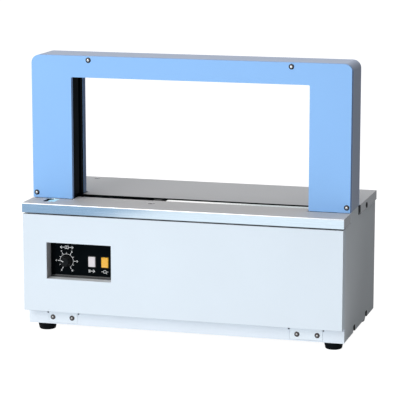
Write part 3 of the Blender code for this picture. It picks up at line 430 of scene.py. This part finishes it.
# painted shade: narrow upright slits just under the table, painted near black
SIDE_ZONES += [(patch(s * SIDE_X, -0.0057, half=(0.0011, 0.0021), z=(0.1840, 0.1980)), SHADE_BLACK)
               for s in (-1, 1)]

# painted shade along the tray's front under the cover's overhang, then painted shade in the side
# openings
BASE_ZONES = [(((-0.2410, -0.1060, 0.0313), (0.2410, -0.1010, 0.0420)), (0.50, 0.55, 0.62))]
BASE_ZONES += [(patch(s * 0.2378, y, half=(0.0012, 0.0105), z=(0.0130, 0.0300)), SHADE_BLACK)
               for s in (-1, 1) for y in OPENING_Y]

# painted shade: a navy upright strip on the arch's right side
ARCH_ZONES = [(((0.2411, -0.0775, 0.1950), (0.2425, -0.0735, 0.4090)), (0.035, 0.070, 0.180))]

# painted shade: dark lines in the gaps between the tables at both ends
END_GAPS = [(((-0.2420, -0.0045, 0.1800), (-0.2300, -0.0036, 0.1986)), GAP_SHADE),
            (((0.2300, -0.0045, 0.1800), (0.2430, -0.0036, 0.1986)), GAP_SHADE)]
# painted shade in the slots along X and in the end gaps, and a painted highlight at the front
# left
TABLE_ZONES = [
    (((-0.1800, -0.0336, 0.1800), (0.1800, -0.0322, 0.1986)), GAP_SHADE),
    (((-0.1800, -0.0557, 0.1800), (0.1800, -0.0544, 0.1986)), GAP_SHADE),
    *END_GAPS,
    # painted highlight: a bright bluish patch on the lip at the front left
    (((-0.2165, -0.1035, 0.190), (-0.1975, -0.0800, 0.19885)), (0.60, 0.93, 1.0)),
]
# painted shade on the rear table's wall of the slot and in the end gaps
REAR_TABLE_ZONES = [(((-0.1800, -0.0345, 0.1800), (0.1800, -0.0312, 0.2000)), GAP_SHADE), *END_GAPS]

# ================================================================ materials
WHITE_WORN = (0.62, 0.64, 0.66)
BLUE_PAINT = {"colour": (0.290, 0.565, 1.000), "worn": (0.45, 0.60, 0.80),
              "rough": 0.40, "coat": 0.12}
WHITE = powder_coat("white_powder_coat", (0.800, 0.860, 0.930), WHITE_WORN, rough=0.36)
WHITE_COVER = powder_coat("white_powder_coat_cover", (0.752, 0.838, 0.918), WHITE_WORN,
                          rough=0.36, zones=COVER_ZONES)
# painted light tone: a less blue copy of the white paint for the side and rear panels, standing
# in for the more neutral light there
WHITE_SIDE = powder_coat("white_powder_coat_side", (0.800, 0.845, 0.880), WHITE_WORN,
                         rough=0.50, coat=0.0, spec=0.12, zones=SIDE_ZONES)
# painted light: a brighter copy of the white paint for the tray, lifting the shade under the
# cover
WHITE_BASE = powder_coat("white_powder_coat_base", (0.838, 0.915, 0.995), WHITE_WORN,
                         rough=0.36, zones=BASE_ZONES)
# painted shade on the blue covers' side faces, darker on the rear cover
BLUE = powder_coat("blue_powder_coat", **BLUE_PAINT, side_shade=(0.235, 0.410, 0.760),
                   zones=ARCH_ZONES)
BLUE_REAR = powder_coat("blue_powder_coat_rear", **BLUE_PAINT, side_shade=(0.105, 0.205, 0.420))
GREY = powder_coat("grey_powder_coat", (0.450, 0.518, 0.665), (0.50, 0.58, 0.72),
                   rough=0.45, coat=0.0, spec=0.42)
TABLE = brushed_steel("brushed_stainless", (0.568, 0.562, 0.565), TABLE_ZONES)
# painted shade: a darker copy of the stainless for the rear table's top
TABLE_REAR = brushed_steel("brushed_stainless_rear", (0.495, 0.497, 0.505), REAR_TABLE_ZONES)
POLISHED = slide_metal("polished_strip_painted_glow")
STEEL = plain_metal("machined_steel", (0.50, 0.50, 0.52), rough=0.36)
ZINC = plain_metal("nickel_screw", (0.72, 0.70, 0.68), rough=0.20)
SCREW = dark_screw("bronze_screw")
DARK_RING = plain_metal("dark_washer", (0.030, 0.024, 0.024), rough=0.45)
WORN_RING = plain_metal("worn_washer", (0.115, 0.095, 0.090), rough=0.45)
SUNK = plain_metal("dull_countersunk", (0.18, 0.18, 0.18), rough=0.5)
BRASS = plain_metal("brass_block", (0.70, 0.50, 0.22), rough=0.35)
MOTOR = powder_coat("motor_paint", (0.16, 0.17, 0.19), (0.35, 0.35, 0.36), rough=0.5, coat=0.0)
BLACK = moulded("black_moulding", (0.0035, 0.0065, 0.0075), rough=0.36)
GUIDE = moulded("black_guide", (0.0012, 0.0038, 0.0065), rough=0.42, edge=0.01, spec=0.015)
ANVIL = plain_metal("anvil_steel", (0.035, 0.034, 0.034), rough=0.40)
BLACK_SOFT = moulded("black_knob", (0.006, 0.007, 0.008), rough=0.32)
BLACK_SCREW = plain_metal("black_oxide", (0.03, 0.03, 0.032), rough=0.35)
RUBBER = rubber("black_rubber", (0.006, 0.008, 0.010))
PANEL = glossy_panel("glossy_black_panel")
PRINT = ink("white_print", (0.86, 0.87, 0.88))
# painted glow on the button caps
WHITE_CAP = lens("white_cap", (0.76, 0.71, 0.73), glow=0.05)
ORANGE_CAP = lens("orange_cap", (0.88, 0.44, 0.012), glow=0.10)
BOARD = circuit("circuit_board")

BY_SLOT = {
    "white_paint": WHITE, "blue_paint": BLUE, "grey_paint": GREY, "stainless": TABLE,
    "polished_steel": POLISHED, "steel": STEEL, "zinc": ZINC, "black_plastic": BLACK,
    "panel_black": PANEL, "rubber": RUBBER, "white_lens": WHITE_CAP,
    "orange_lens": ORANGE_CAP, "brass": BRASS, "board_green": BOARD, "motor_grey": MOTOR,
}
# pieces whose finish differs from their slot's
BY_PIECE = {
    "side_panel_left": WHITE_SIDE, "side_panel_right": WHITE_SIDE, "rear_panel": WHITE_SIDE,
    "guide_left": GUIDE, "guide_right": GUIDE, "guide_top": GUIDE, "flap_left": GUIDE,
    "flap_right": GUIDE, "flap_top": GUIDE, "lower_guide": GUIDE, "anvil_plate": ANVIL,
    "front_cover": WHITE_COVER, "rear_table": TABLE_REAR, "base_tray": WHITE_BASE,
    "arch_rear_cover": BLUE_REAR,
}
SLOT_OF = {part["node"]: part["material_slot"] for part in frame["record"]["subparts"]}


def paint(ob, mat):
    if not ob.data.materials:
        ob.data.materials.append(mat)
    for i in range(len(ob.data.materials)):
        ob.data.materials[i] = mat
    for slot in ob.material_slots:
        slot.material = mat


for name, ob in NODES.items():
    paint(ob, BY_SLOT[SLOT_OF[name]])
for name, mat in BY_PIECE.items():
    paint(NODES[name], mat)

# ================================================================ edges of the CAD pieces
WELD = 0.00001  # metres
BEND_RADIUS = 1.25  # the table's outer upper edge
FINE_BREAK = 0.30  # the table's other edges
RIM_MARGIN = 0.05  # how near the outside counts as the rim
FOLD_ANGLE = 0.6  # radians; sharper convex edges are folds

# bevel widths in mm
EDGE_WIDTHS = {
    "front_cover": 0.6, "arch_front_cover": 0.4, "arch_rear_cover": 0.3, "arch_rim": 0.25,
    "side_panel_left": 0.4, "side_panel_right": 0.4, "base_tray": 0.5, "rear_panel": 0.3,
    "slide_strip": 0.3, "guide_left": 0.4, "guide_right": 0.4, "guide_top": 0.4,
    "flap_left": 0.3, "flap_right": 0.3, "flap_top": 0.3, "power_inlet": 0.5,
    "power_switch": 0.5, "fan_housing": 0.4,
}


def weight_normals(ob):
    weighted = ob.modifiers.new("weighted", "WEIGHTED_NORMAL")
    weighted.keep_sharp = False
    weighted.weight = 80


def soften(name, width):
    """Rounds the folded or moulded edges of a CAD piece."""
    ob = NODES[name]
    ob.modifiers.new("joined", "WELD").merge_threshold = WELD
    bevel = ob.modifiers.new("soft_edges", "BEVEL")
    bevel.width = width * MM
    bevel.segments = 3
    bevel.limit_method = "ANGLE"
    bevel.angle_limit = math.radians(30)
    bevel.harden_normals = False
    weight_normals(ob)


def bend_weights(name, half_x, end_y, top):
    """A node group that welds the mesh and stores bevel weights: 1 on the outer upper edge."""
    tree = bpy.data.node_groups.new(name + "_bends", "GeometryNodeTree")
    for direction in ("INPUT", "OUTPUT"):
        tree.interface.new_socket("Geometry", in_out=direction, socket_type="NodeSocketGeometry")
    graph = Graph(tree)
    x, y, z = graph.separate(graph.add("GeometryNodeInputPosition").outputs[0])
    at_side = graph.math("GREATER_THAN", graph.math("ABSOLUTE", x), (half_x - RIM_MARGIN) * MM)
    outward = graph.times(y, math.copysign(1.0, end_y))
    at_end = graph.math("GREATER_THAN", outward, (abs(end_y) - RIM_MARGIN) * MM)
    at_top = graph.math("GREATER_THAN", z, (top - RIM_MARGIN) * MM)
    on_bend = graph.times(graph.math("MAXIMUM", at_side, at_end), at_top)
    angle = graph.add("GeometryNodeInputMeshEdgeAngle").outputs["Signed Angle"]
    fold = graph.math("GREATER_THAN", angle, FOLD_ANGLE)
    fine = FINE_BREAK / BEND_RADIUS
    weight = graph.times(fold, graph.plus(fine, graph.times(on_bend, 1.0 - fine)))
    source = graph.add("NodeGroupInput").outputs[0]
    weld = graph.add("GeometryNodeMergeByDistance", {"Geometry": source, "Distance": WELD})
    store = graph.add("GeometryNodeStoreNamedAttribute",
                      {"Geometry": weld.outputs["Geometry"], "Name": "bevel_weight_edge",
                       "Value": weight},
                      data_type="FLOAT", domain="EDGE")
    graph.add("NodeGroupOutput", {0: store.outputs[0]})
    return tree


def bend(name, end):
    """A wide bend round a table's outer upper edge and a fine break on its other edges.
    end picks the outer end in Y: 0 for the lowest, 1 for the highest."""
    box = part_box(name)
    ob = NODES[name]
    marks = ob.modifiers.new("bend_lines", "NODES")
    marks.node_group = bend_weights(name, half_x=box[1][0] / MM, end_y=box[end][1] / MM,
                                    top=box[1][2] / MM)
    bevel = ob.modifiers.new("bends", "BEVEL")
    bevel.width = BEND_RADIUS * MM
    bevel.segments = 4
    bevel.limit_method = "WEIGHT"
    bevel.use_clamp_overlap = False
    weight_normals(ob)


bend("front_table", end=0)
bend("rear_table", end=1)
for name, width in EDGE_WIDTHS.items():
    soften(name, width)


# ================================================================ mesh helpers (mm)
def add_piece(name, bm, mat, body, matrix, replaces=(), smooth=35):
    """Turns a bmesh into an object; edges sharper than smooth degrees stay sharp, 0 is flat."""
    bmesh.ops.recalc_face_normals(bm, faces=bm.faces)
    me = bpy.data.meshes.new(name)
    bm.to_mesh(me)
    bm.free()
    me.transform(matrix)
    if smooth:
        me.shade_smooth()
        me.set_sharp_from_angle(angle=math.radians(smooth))
    me.materials.append(mat)
    ob = bpy.data.objects.new(name, me)
    scene.collection.objects.link(ob)
    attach(ob, body)
    if replaces:
        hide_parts(*replaces)
    return ob


def add_row(bm, points, z):
    return [bm.verts.new((x * MM, y * MM, z * MM)) for x, y in points]


def bridge(bm, low, high):
    """Joins two closed rows with faces; a row of one vertex is a pole."""
    sides = max(len(low), len(high))
    for i in range(sides):
        j = (i + 1) % sides
        if len(low) == 1:
            bm.faces.new((low[0], high[i], high[j]))
        elif len(high) == 1:
            bm.faces.new((low[i], low[j], high[0]))
        else:
            bm.faces.new((low[i], low[j], high[j], high[i]))


def lathe(profile, sides, wobble=None):
    """Turned shape about +Z from [(z, radius)] that starts and ends on the axis.
    wobble(angle, row) scales the radius."""
    bm = bmesh.new()
    rows = []
    for k, (z, radius) in enumerate(profile):
        points = [(0, 0)]
        if radius > 1e-6:
            points = []
            for i in range(sides):
                angle = 2 * math.pi * i / sides
                reach = radius * (wobble(angle, k) if wobble else 1.0)
                points.append((reach * math.cos(angle), reach * math.sin(angle)))
        rows.append(add_row(bm, points, z))
    for low, high in zip(rows, rows[1:]):
        bridge(bm, low, high)
    return bm


def slab(bm, points, z0, z1):
    """Adds a flat plate with the given outline."""
    low, high = add_row(bm, points, z0), add_row(bm, points, z1)
    bm.faces.new(low[::-1])
    bm.faces.new(high)
    bridge(bm, low, high)


def round_rect(half_width, half_height, radius):
    """Outline with six points on each corner."""
    x, y = half_width - radius, half_height - radius
    return [(cx + radius * math.cos(math.radians(start + 90 * i / 5)),
             cy + radius * math.sin(math.radians(start + 90 * i / 5)))
            for cx, cy, start in ((x, y, 0), (-x, y, 90), (-x, -y, 180), (x, -y, 270))
            for i in range(6)]


def loft(rings, hollow=False):
    """Skins rounded rectangles [(half width, half height, corner radius, z)].
    A hollow loft joins its last ring to its first; otherwise both ends are closed."""
    bm = bmesh.new()
    rows = [add_row(bm, round_rect(*ring[:3]), ring[3]) for ring in rings]
    for low, high in zip(rows, rows[1:] + rows[:1] if hollow else rows[1:]):
        bridge(bm, low, high)
    if not hollow:
        bm.faces.new(rows[0][::-1])
        bm.faces.new(rows[-1])
    return bm


def facing(point, normal, up=(0, 0, 1)):
    """Places a shape built on +Z at point, its +Z along normal and its +Y towards up."""
    z = Vector(normal).normalized()
    x = Vector(up).cross(z)
    x.normalize()
    y = z.cross(x)
    matrix = Matrix((x, y, z)).transposed().to_4x4()
    matrix.translation = Vector(point) * MM
    return matrix


def centre(name):
    lo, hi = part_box(name)
    return (Vector(lo) + Vector(hi)) / 2 / MM


# ================================================================ fasteners (mm)
FRONT = (0, -1, 0)
COVER_SEAT = 1.2  # cover screws' seat, ahead of the cover's rearmost face
FLANGE_X = 242.2
TABLE_SCREWS = {"table_screw_front": 4.5, "table_screw_rear_left": 4.05,
                "table_screw_rear_right": 4.05}  # head radii


def cut_cross(ob, half_width, half_length, top, depth, matrix):
    """Cuts a tapered cross recess in a screw head whose crown is at top."""
    bm = bmesh.new()
    for half_x, half_y in ((half_width, half_length), (half_length, half_width)):
        rows = []
        for z, taper_x, taper_y in ((top + 1.0, 1.0, 1.0), (top - depth, 0.35, 0.7)):
            corners = [(sx * half_x * taper_x, sy * half_y * taper_y)
                       for sx, sy in ((-1, -1), (1, -1), (1, 1), (-1, 1))]
            rows.append(add_row(bm, corners, z))
        upper, lower = rows
        bm.faces.new(upper)
        bm.faces.new(lower[::-1])
        for i in range(4):
            j = (i + 1) % 4
            bm.faces.new((upper[i], lower[i], lower[j], upper[j]))
    me = bpy.data.meshes.new(ob.name + "_bit")
    bmesh.ops.recalc_face_normals(bm, faces=bm.faces)
    bm.to_mesh(me)
    bm.free()
    me.transform(matrix)
    bit = bpy.data.objects.new(ob.name + "_bit", me)
    scene.collection.objects.link(bit)
    cut = ob.modifiers.new("recess", "BOOLEAN")
    cut.operation = "DIFFERENCE"
    cut.solver = "EXACT"
    cut.use_self = True
    cut.object = bit
    depsgraph = bpy.context.evaluated_depsgraph_get()
    done = bpy.data.meshes.new_from_object(ob.evaluated_get(depsgraph))
    ob.modifiers.clear()
    uncut = ob.data
    ob.data = done
    bpy.data.meshes.remove(uncut)
    bpy.data.objects.remove(bit)


def pan_head(name, seat, normal, radius, replaces, turn, height=2.3, mat=SCREW, ring_mat=None):
    """A pan-head screw with a cross recess, on a cupped washer if ring_mat is given."""
    base = 0.55 if ring_mat else 0.1
    shoulder = base + 0.25
    crown = [(shoulder + (height - shoulder) * math.sin(math.pi / 2 * k / 8),
              radius * 0.985 * math.cos(math.pi / 2 * k / 8)) for k in range(9)]
    profile = [(base, 0.0), (base, radius * 0.96), (shoulder, radius)] + crown
    matrix = facing(seat, normal) @ Matrix.Rotation(turn, 4, "Z")
    ob = add_piece(name, lathe(profile, sides=40), mat, "cabinet", matrix, (replaces,))
    cut_cross(ob, half_width=0.26, half_length=1.25, top=height, depth=0.8, matrix=matrix)
    if ring_mat:
        ring = [(0.06, 0.0), (0.06, radius + 1.15), (0.22, radius + 1.25), (0.50, radius + 1.0),
                (0.62, radius + 0.35), (0.52, radius * 0.6), (0.52, 0.0)]
        add_piece(name + "_washer", lathe(ring, sides=40), ring_mat, "cabinet", matrix)


def countersunk(name, radius, table_top):
    """A countersunk screw with its head just below the table's top."""
    profile = [(-9.0, 0.0), (-9.0, 1.9), (-2.2, 1.9), (-0.75, radius - 0.35),
               (-0.45, radius - 0.2), (-0.30, radius - 0.45), (-0.24, radius * 0.6), (-0.22, 0.0)]
    c = centre(name)
    matrix = facing((c.x, c.y, table_top), (0, 0, 1), (0, 1, 0)) @ Matrix.Rotation(0.5, 4, "Z")
    ob = add_piece(name + "_countersunk", lathe(profile, sides=40), SUNK, "cabinet",
                   matrix, (name,))
    cut_cross(ob, half_width=0.45, half_length=2.2, top=-0.2, depth=1.3, matrix=matrix)


cover_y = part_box("front_cover")[1][1] / MM - COVER_SEAT
arch_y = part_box("arch_front_cover")[0][1] / MM
for i in range(1, 5):
    c = centre(f"cover_screw_{i}")
    pan_head(f"cover_pan_screw_{i}", (c.x, cover_y, c.z), FRONT, radius=2.6,
             replaces=f"cover_screw_{i}", turn=0.4 + 0.9 * i, ring_mat=WORN_RING)
    c = centre(f"arch_screw_{i}")
    pan_head(f"arch_pan_screw_{i}", (c.x, arch_y, c.z), FRONT, radius=2.75,
             replaces=f"arch_screw_{i}", turn=0.2 + 1.1 * i, ring_mat=DARK_RING)
table_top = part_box("front_table")[1][2] / MM
for name, radius in TABLE_SCREWS.items():
    countersunk(name, radius, table_top)
for side, s in SIDES:
    c = centre(f"flange_screw_{side}")
    pan_head(f"flange_pan_screw_{side}", (s * FLANGE_X, c.y, c.z), (s, 0, 0), radius=4.3,
             height=1.25, replaces=f"flange_screw_{side}", turn=0.7, mat=BLACK_SCREW)

# ================================================================ feet (mm)
FOOT_PROFILE = [  # (z, radius)
    (0.0, 0.0), (0.9, 4.0), (0.9, 6.0), (0.0, 6.6), (0.0, 11.2), (0.5, 12.0), (1.4, 12.4),
    (10.9, 14.4), (12.0, 14.5), (12.7, 14.1), (12.9, 13.4), (12.9, 0.0),
]
for end in ("front", "rear"):
    for side, _ in SIDES:
        c = centre(f"foot_{end}_{side}")
        add_piece(f"rubber_foot_{end}_{side}", lathe(FOOT_PROFILE, sides=56), RUBBER, "cabinet",
                  Matrix.Translation((c.x * MM, c.y * MM, 0.0)), (f"foot_{end}_{side}",))

# ================================================================ controls (mm)
PANEL_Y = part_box("panel_face")[0][1] / MM
# (x, z) on the panel
KNOB = (-180.2, 110.7)
FEED = (-140.5, 111.6)
RESET = (-120.2, 111.6)

KNOB_PROFILE = [  # (z, radius)
    (0.6, 0.0), (0.6, 8.5), (1.5, 8.6), (2.2, 7.9), (4.0, 7.5), (9.5, 7.15), (10.6, 6.9),
    (11.4, 6.2), (11.8, 5.3), (11.65, 4.8), (11.55, 0.0),
]
KNOB_RIBS = 24
RIB_DEPTH = 0.025  # share of the radius
RIBBED_ROWS = range(3, 7)
POINTER_HALF = 0.45
POINTER_ANGLE = 65.0
# the pointer's mark on the knob's top and on its rim: (y0, y1, z0, z1)
POINTER_MARKS = ((1.6, 5.6, 11.5, 11.85), (5.9, 7.0, 10.4, 11.3))

# (half width, half height, corner radius, z)
CAP_RINGS = [
    (5.3, 7.6, 0.5, -0.7), (5.3, 7.6, 0.5, 1.5), (5.15, 7.45, 0.6, 1.9), (4.8, 7.1, 0.6, 2.15),
    (4.3, 6.5, 0.5, 2.17), (4.1, 6.3, 0.5, 2.05), (2.5, 4.2, 0.5, 1.95),
]
BEZEL_RINGS = [
    (7.0, 9.2, 0.9, -0.2), (7.0, 9.2, 0.9, 0.55), (6.75, 8.95, 0.8, 0.8),
    (6.25, 8.45, 0.55, 0.8), (6.05, 8.25, 0.5, 0.6), (6.05, 8.25, 0.5, -0.2),
]


def on_panel(x, z):
    return facing((x, PANEL_Y, z), FRONT)


def rib(angle, row):
    if row not in RIBBED_ROWS:
        return 1.0
    return 1.0 + RIB_DEPTH * max(0.0, math.cos(KNOB_RIBS * angle))


def add_knob():
    add_piece("tension_knob_cap", lathe(KNOB_PROFILE, sides=144, wobble=rib), BLACK_SOFT,
              "tension_knob", on_panel(*KNOB), ("tension_knob",), smooth=50)
    bm = bmesh.new()
    half = POINTER_HALF
    for y0, y1, z0, z1 in POINTER_MARKS:
        slab(bm, [(-half, y0), (half, y0), (half, y1), (-half, y1)], z0, z1)
    turn = Matrix.Rotation(math.radians(POINTER_ANGLE), 4, "Z")
    add_piece("tension_knob_pointer", bm, PRINT, "tension_knob",
              on_panel(*KNOB) @ turn, smooth=0)


def add_button(name, place, mat):
    """A dished cap and the thin bezel round it."""
    add_piece(name + "_cap", loft(CAP_RINGS), mat, name, on_panel(*place), (name,))
    add_piece(name + "_bezel", loft(BEZEL_RINGS, hollow=True), BLACK_SOFT, "cabinet",
              on_panel(*place))


add_knob()
add_button("feed_button", FEED, WHITE_CAP)
add_button("reset_button", RESET, ORANGE_CAP)

# ================================================================ printing (mm)
PRINT_Z = (0.02, 0.09)  # bottom and top of the ink above the panel
DIAL_START, DIAL_STEP, DIAL_MARKS = -150, 30, 11  # degrees clockwise from the top
ARC_STEP = 5
ARC_RADIUS, LONG_TICK, SHORT_TICK, NUMBER_RADIUS = 10.4, 13.8, 12.4, 16.4
DIGIT_CELL = 1.1  # digit width, and half its height
DIGIT_PITCH = 1.7
DIGITS = {"0": "abcdef", "1": "bc", "2": "abged", "4": "fgbc", "6": "afgedc", "8": "abcdefg"}
SEGMENTS = {  # ends of each digit stroke, in cells
    "a": ((0, 2), (1, 2)), "b": ((1, 2), (1, 1)), "c": ((1, 1), (1, 0)), "d": ((0, 0), (1, 0)),
    "e": ((0, 1), (0, 0)), "f": ((0, 2), (0, 1)), "g": ((0, 1), (1, 1)),
}
# icons as paths of (x, z) about their place: a box between two outward arrows,
# an arrow pointing right, and an open loop with an arrow head
TENSION_ICON = [
    [(-10.2, 0), (-3.6, 0)], [(10.2, 0), (3.6, 0)], [(-10.2, 0), (-7.9, 1.9)],
    [(-10.2, 0), (-7.9, -1.9)], [(10.2, 0), (7.9, 1.9)], [(10.2, 0), (7.9, -1.9)],
    [(-2.6, -2.0), (-2.6, 2.0), (2.6, 2.0), (2.6, -2.0), (-2.6, -2.0)], [(0, -2.0), (0, 2.0)],
]
FEED_ICON = [[(-4.8, 0), (4.3, 0)], [(4.8, 0), (2.2, 2.1)], [(4.8, 0), (2.2, -2.1)],
             [(-4.8, 1.5), (-2.0, 1.5)], [(-4.8, -1.5), (-2.0, -1.5)]]
LOOP_RADIUS = 2.3
RESET_ICON = [
    [(LOOP_RADIUS * math.cos(math.radians(a)), LOOP_RADIUS * math.sin(math.radians(a)))
     for a in range(-40, 261, 20)],
    [(2.9, -2.9), (1.8, -1.4)], [(0.2, -1.9), (1.8, -1.4)],
    [(-5.0, 0), (-3.4, 0)], [(3.4, 0), (5.0, 0)],
]
ICON_Z = 97.4  # height of the icons under the buttons


def add_print(name, paths, width, place):
    """Prints lines on the panel; each path is a list of points."""
    bm = bmesh.new()
    for path in paths:
        points = [Vector(p) for p in path]
        for a, b in zip(points, points[1:]):
            along = (b - a).normalized()
            side = Vector((-along.y, along.x)) * width / 2
            extra = along * width * 0.25
            outline = [a - extra - side, b + extra - side, b + extra + side, a - extra + side]
            slab(bm, outline, *PRINT_Z)
    add_piece(name, bm, PRINT, "cabinet", on_panel(*place), smooth=0)


def on_dial(radius, degrees):
    angle = math.radians(degrees)
    return (radius * math.sin(angle), radius * math.cos(angle))


def dial_ticks():
    for k in range(DIAL_MARKS):
        degrees = DIAL_START + DIAL_STEP * k
        outer = LONG_TICK if k % 2 == 0 else SHORT_TICK
        yield [on_dial(ARC_RADIUS, degrees), on_dial(outer, degrees)]


def dial_arc():
    """Short straight pieces that join the ticks."""
    for k in range((DIAL_MARKS - 1) * DIAL_STEP // ARC_STEP):
        degrees = DIAL_START + ARC_STEP * k
        yield [on_dial(ARC_RADIUS, degrees), on_dial(ARC_RADIUS, degrees + ARC_STEP)]


def dial_numbers():
    """A number at every second tick."""
    for k in range(0, DIAL_MARKS, 2):
        x, z = on_dial(NUMBER_RADIUS, DIAL_START + DIAL_STEP * k)
        text = str(k)
        for i, digit in enumerate(text):
            left = x + (i - (len(text) - 1) / 2) * DIGIT_PITCH - DIGIT_CELL / 2
            for segment in DIGITS[digit]:
                yield [(left + column * DIGIT_CELL, z + (level - 1) * DIGIT_CELL)
                       for column, level in SEGMENTS[segment]]


add_print("dial_ticks", dial_ticks(), 0.75, KNOB)
add_print("dial_arc", dial_arc(), 0.45, KNOB)
add_print("dial_numbers", dial_numbers(), 0.5, KNOB)
add_print("tension_icon", TENSION_ICON, 0.7, (KNOB[0] + 0.3, 131.2))
add_print("feed_icon", FEED_ICON, 0.7, (FEED[0] - 0.6, ICON_Z))
add_print("reset_icon", RESET_ICON, 0.65, (RESET[0] - 0.4, ICON_Z))


# ================================================================ studio (metres)
def add_camera():
    """A long lens from the front right, a little above the machine."""
    place = (0.77250, -2.74814, 0.71718)
    right = (0.962329217, 0.271886849, 0.000137519)
    up = (-0.04921659, 0.173702051, 0.983567651)
    back = (0.267395222, -0.946522656, 0.180539902)
    cam = bpy.data.objects.new("camera", bpy.data.cameras.new("camera"))
    scene.collection.objects.link(cam)
    cam.data.sensor_width = 36.0
    cam.data.lens = 173.68
    turn = Matrix((right, up, back)).transposed().to_4x4()
    cam.matrix_world = Matrix.Translation(place) @ turn
    cam.data.clip_start = 0.05
    cam.data.clip_end = 60.0
    scene.camera = cam


def add_world():
    """White to the camera; a soft gradient, brightest in front, to everything else."""
    ambient, from_front, from_left, from_above, from_back = 0.12, 1.08, 0.3, 0.25, 0.36
    front_focus = 1.5  # power that narrows the front light
    right_loss, right_spread = 0.775, 0.7  # how much the right side darkens, and its power
    sheen, sheen_height, sheen_slope = 0.95, 0.50, 4.0  # extra overhead light in reflections
    world = bpy.data.worlds.new("studio")
    world.use_nodes = True
    scene.world = world
    sky = Graph(world.node_tree)
    x, y, z = sky.separate(sky.add("ShaderNodeTexCoord").outputs["Generated"])

    front = sky.math("MAXIMUM", sky.times(y, -1.0), 0.0)
    front = sky.math("POWER", front, front_focus)
    left = sky.math("MAXIMUM", sky.times(x, -1.0), 0.0)
    right = sky.math("MAXIMUM", x, 0.0)
    up = sky.math("MAXIMUM", z, 0.0)
    back = sky.math("MAXIMUM", y, 0.0)
    level = sky.plus(sky.plus(ambient, sky.times(front, from_front)), sky.times(left, from_left))
    level = sky.plus(level, sky.plus(sky.times(up, from_above), sky.times(back, from_back)))
    shade = sky.times(sky.math("POWER", right, right_spread), right_loss)
    level = sky.times(level, sky.math("SUBTRACT", 1.0, shade))
    above = sky.math("MULTIPLY", sky.math("SUBTRACT", z, sheen_height), sheen_slope, clamp=True)
    glossy = sky.add("ShaderNodeLightPath").outputs["Is Glossy Ray"]
    level = sky.plus(level, sky.times(sky.times(above, sheen), glossy))

    soft = sky.add("ShaderNodeBackground", {"Color": (0.985, 0.99, 1.0), "Strength": level})
    plain = sky.add("ShaderNodeBackground", {"Color": (1, 1, 1), "Strength": 1.0})
    seen = sky.add("ShaderNodeLightPath").outputs["Is Camera Ray"]
    surface = sky.choose(seen, no=soft.outputs[0], yes=plain.outputs[0])
    sky.add("ShaderNodeOutputWorld", {0: surface})


def add_light(name, loc, size, power):
    """A rectangular light aimed at the middle of the machine."""
    target = Vector((0, 0, 0.2))
    data = bpy.data.lights.new(name, "AREA")
    data.shape = "RECTANGLE"
    data.size, data.size_y = size
    data.energy = power
    ob = bpy.data.objects.new(name, data)
    scene.collection.objects.link(ob)
    ob.location = loc
    ob.rotation_mode = "QUATERNION"
    ob.rotation_quaternion = (target - Vector(loc)).to_track_quat("-Z", "Y")
    ob.visible_camera = False


def floor_material():
    """Nearly white to the camera. Diffuse rays see a lit sheet in front of the machine that
    fades to the right; other rays see a bright front with a darker card at the left."""
    mat = Material("studio_floor")
    diffuse = mat.add("ShaderNodeBsdfDiffuse", {"Color": (0.20, 0.20, 0.202)})
    x, y, _ = mat.separate(mat.geometry("Position"))
    rays = mat.add("ShaderNodeLightPath").outputs

    lit = mat.times(mat.span(y, over=(-0.125, -0.095), to=(1.0, 0.0), smooth=True),
                    mat.span(x, over=(0.26, 0.72), to=(1.0, 0.0), smooth=True))
    sheet, rest = 0.80, 0.03  # strength of the lit sheet and of the floor everywhere
    bounce = mat.add("ShaderNodeEmission", {"Color": (0.98, 0.99, 1.0),
                                            "Strength": mat.plus(mat.times(lit, sheet), rest)})

    card = mat.times(mat.span(x, over=(-0.43, -0.36), to=(1.0, 0.0), smooth=True),
                     mat.span(x, over=(-0.95, -0.75), smooth=True))
    front_floor = mat.mix((0.98, 1.19, 1.33), (0.25, 0.49, 0.76), card)
    in_front = mat.span(y, over=(-0.45, -0.15), to=(1.0, 0.0), smooth=True)
    mirrored = mat.mix((0.16, 0.17, 0.18), front_floor, in_front)
    mirror = mat.add("ShaderNodeEmission", {"Color": mirrored})

    seen = mat.add("ShaderNodeEmission", {"Strength": 0.98})
    glow = mat.choose(rays["Is Diffuse Ray"], no=mirror.outputs[0], yes=bounce.outputs[0])
    glow = mat.choose(rays["Is Camera Ray"], no=glow, yes=seen.outputs[0])
    both = mat.add("ShaderNodeAddShader", {0: diffuse.outputs[0], 1: glow})
    return mat.output(both.outputs[0])


def add_floor():
    """A wide disc just under the feet."""
    bm = bmesh.new()
    bmesh.ops.create_circle(bm, cap_ends=True, segments=96, radius=14.0)
    me = bpy.data.meshes.new("floor")
    bm.to_mesh(me)
    bm.free()
    floor = bpy.data.objects.new("floor", me)
    scene.collection.objects.link(floor)
    floor.location = (0, 0, -0.0002)
    me.materials.append(floor_material())


add_camera()
add_world()
add_light("key", loc=(-1.3, -2.6, 1.7), size=(1.6, 1.6), power=26.0)
add_light("top", loc=(0.0, 0.2, 2.6), size=(2.2, 1.6), power=10.0)
add_floor()
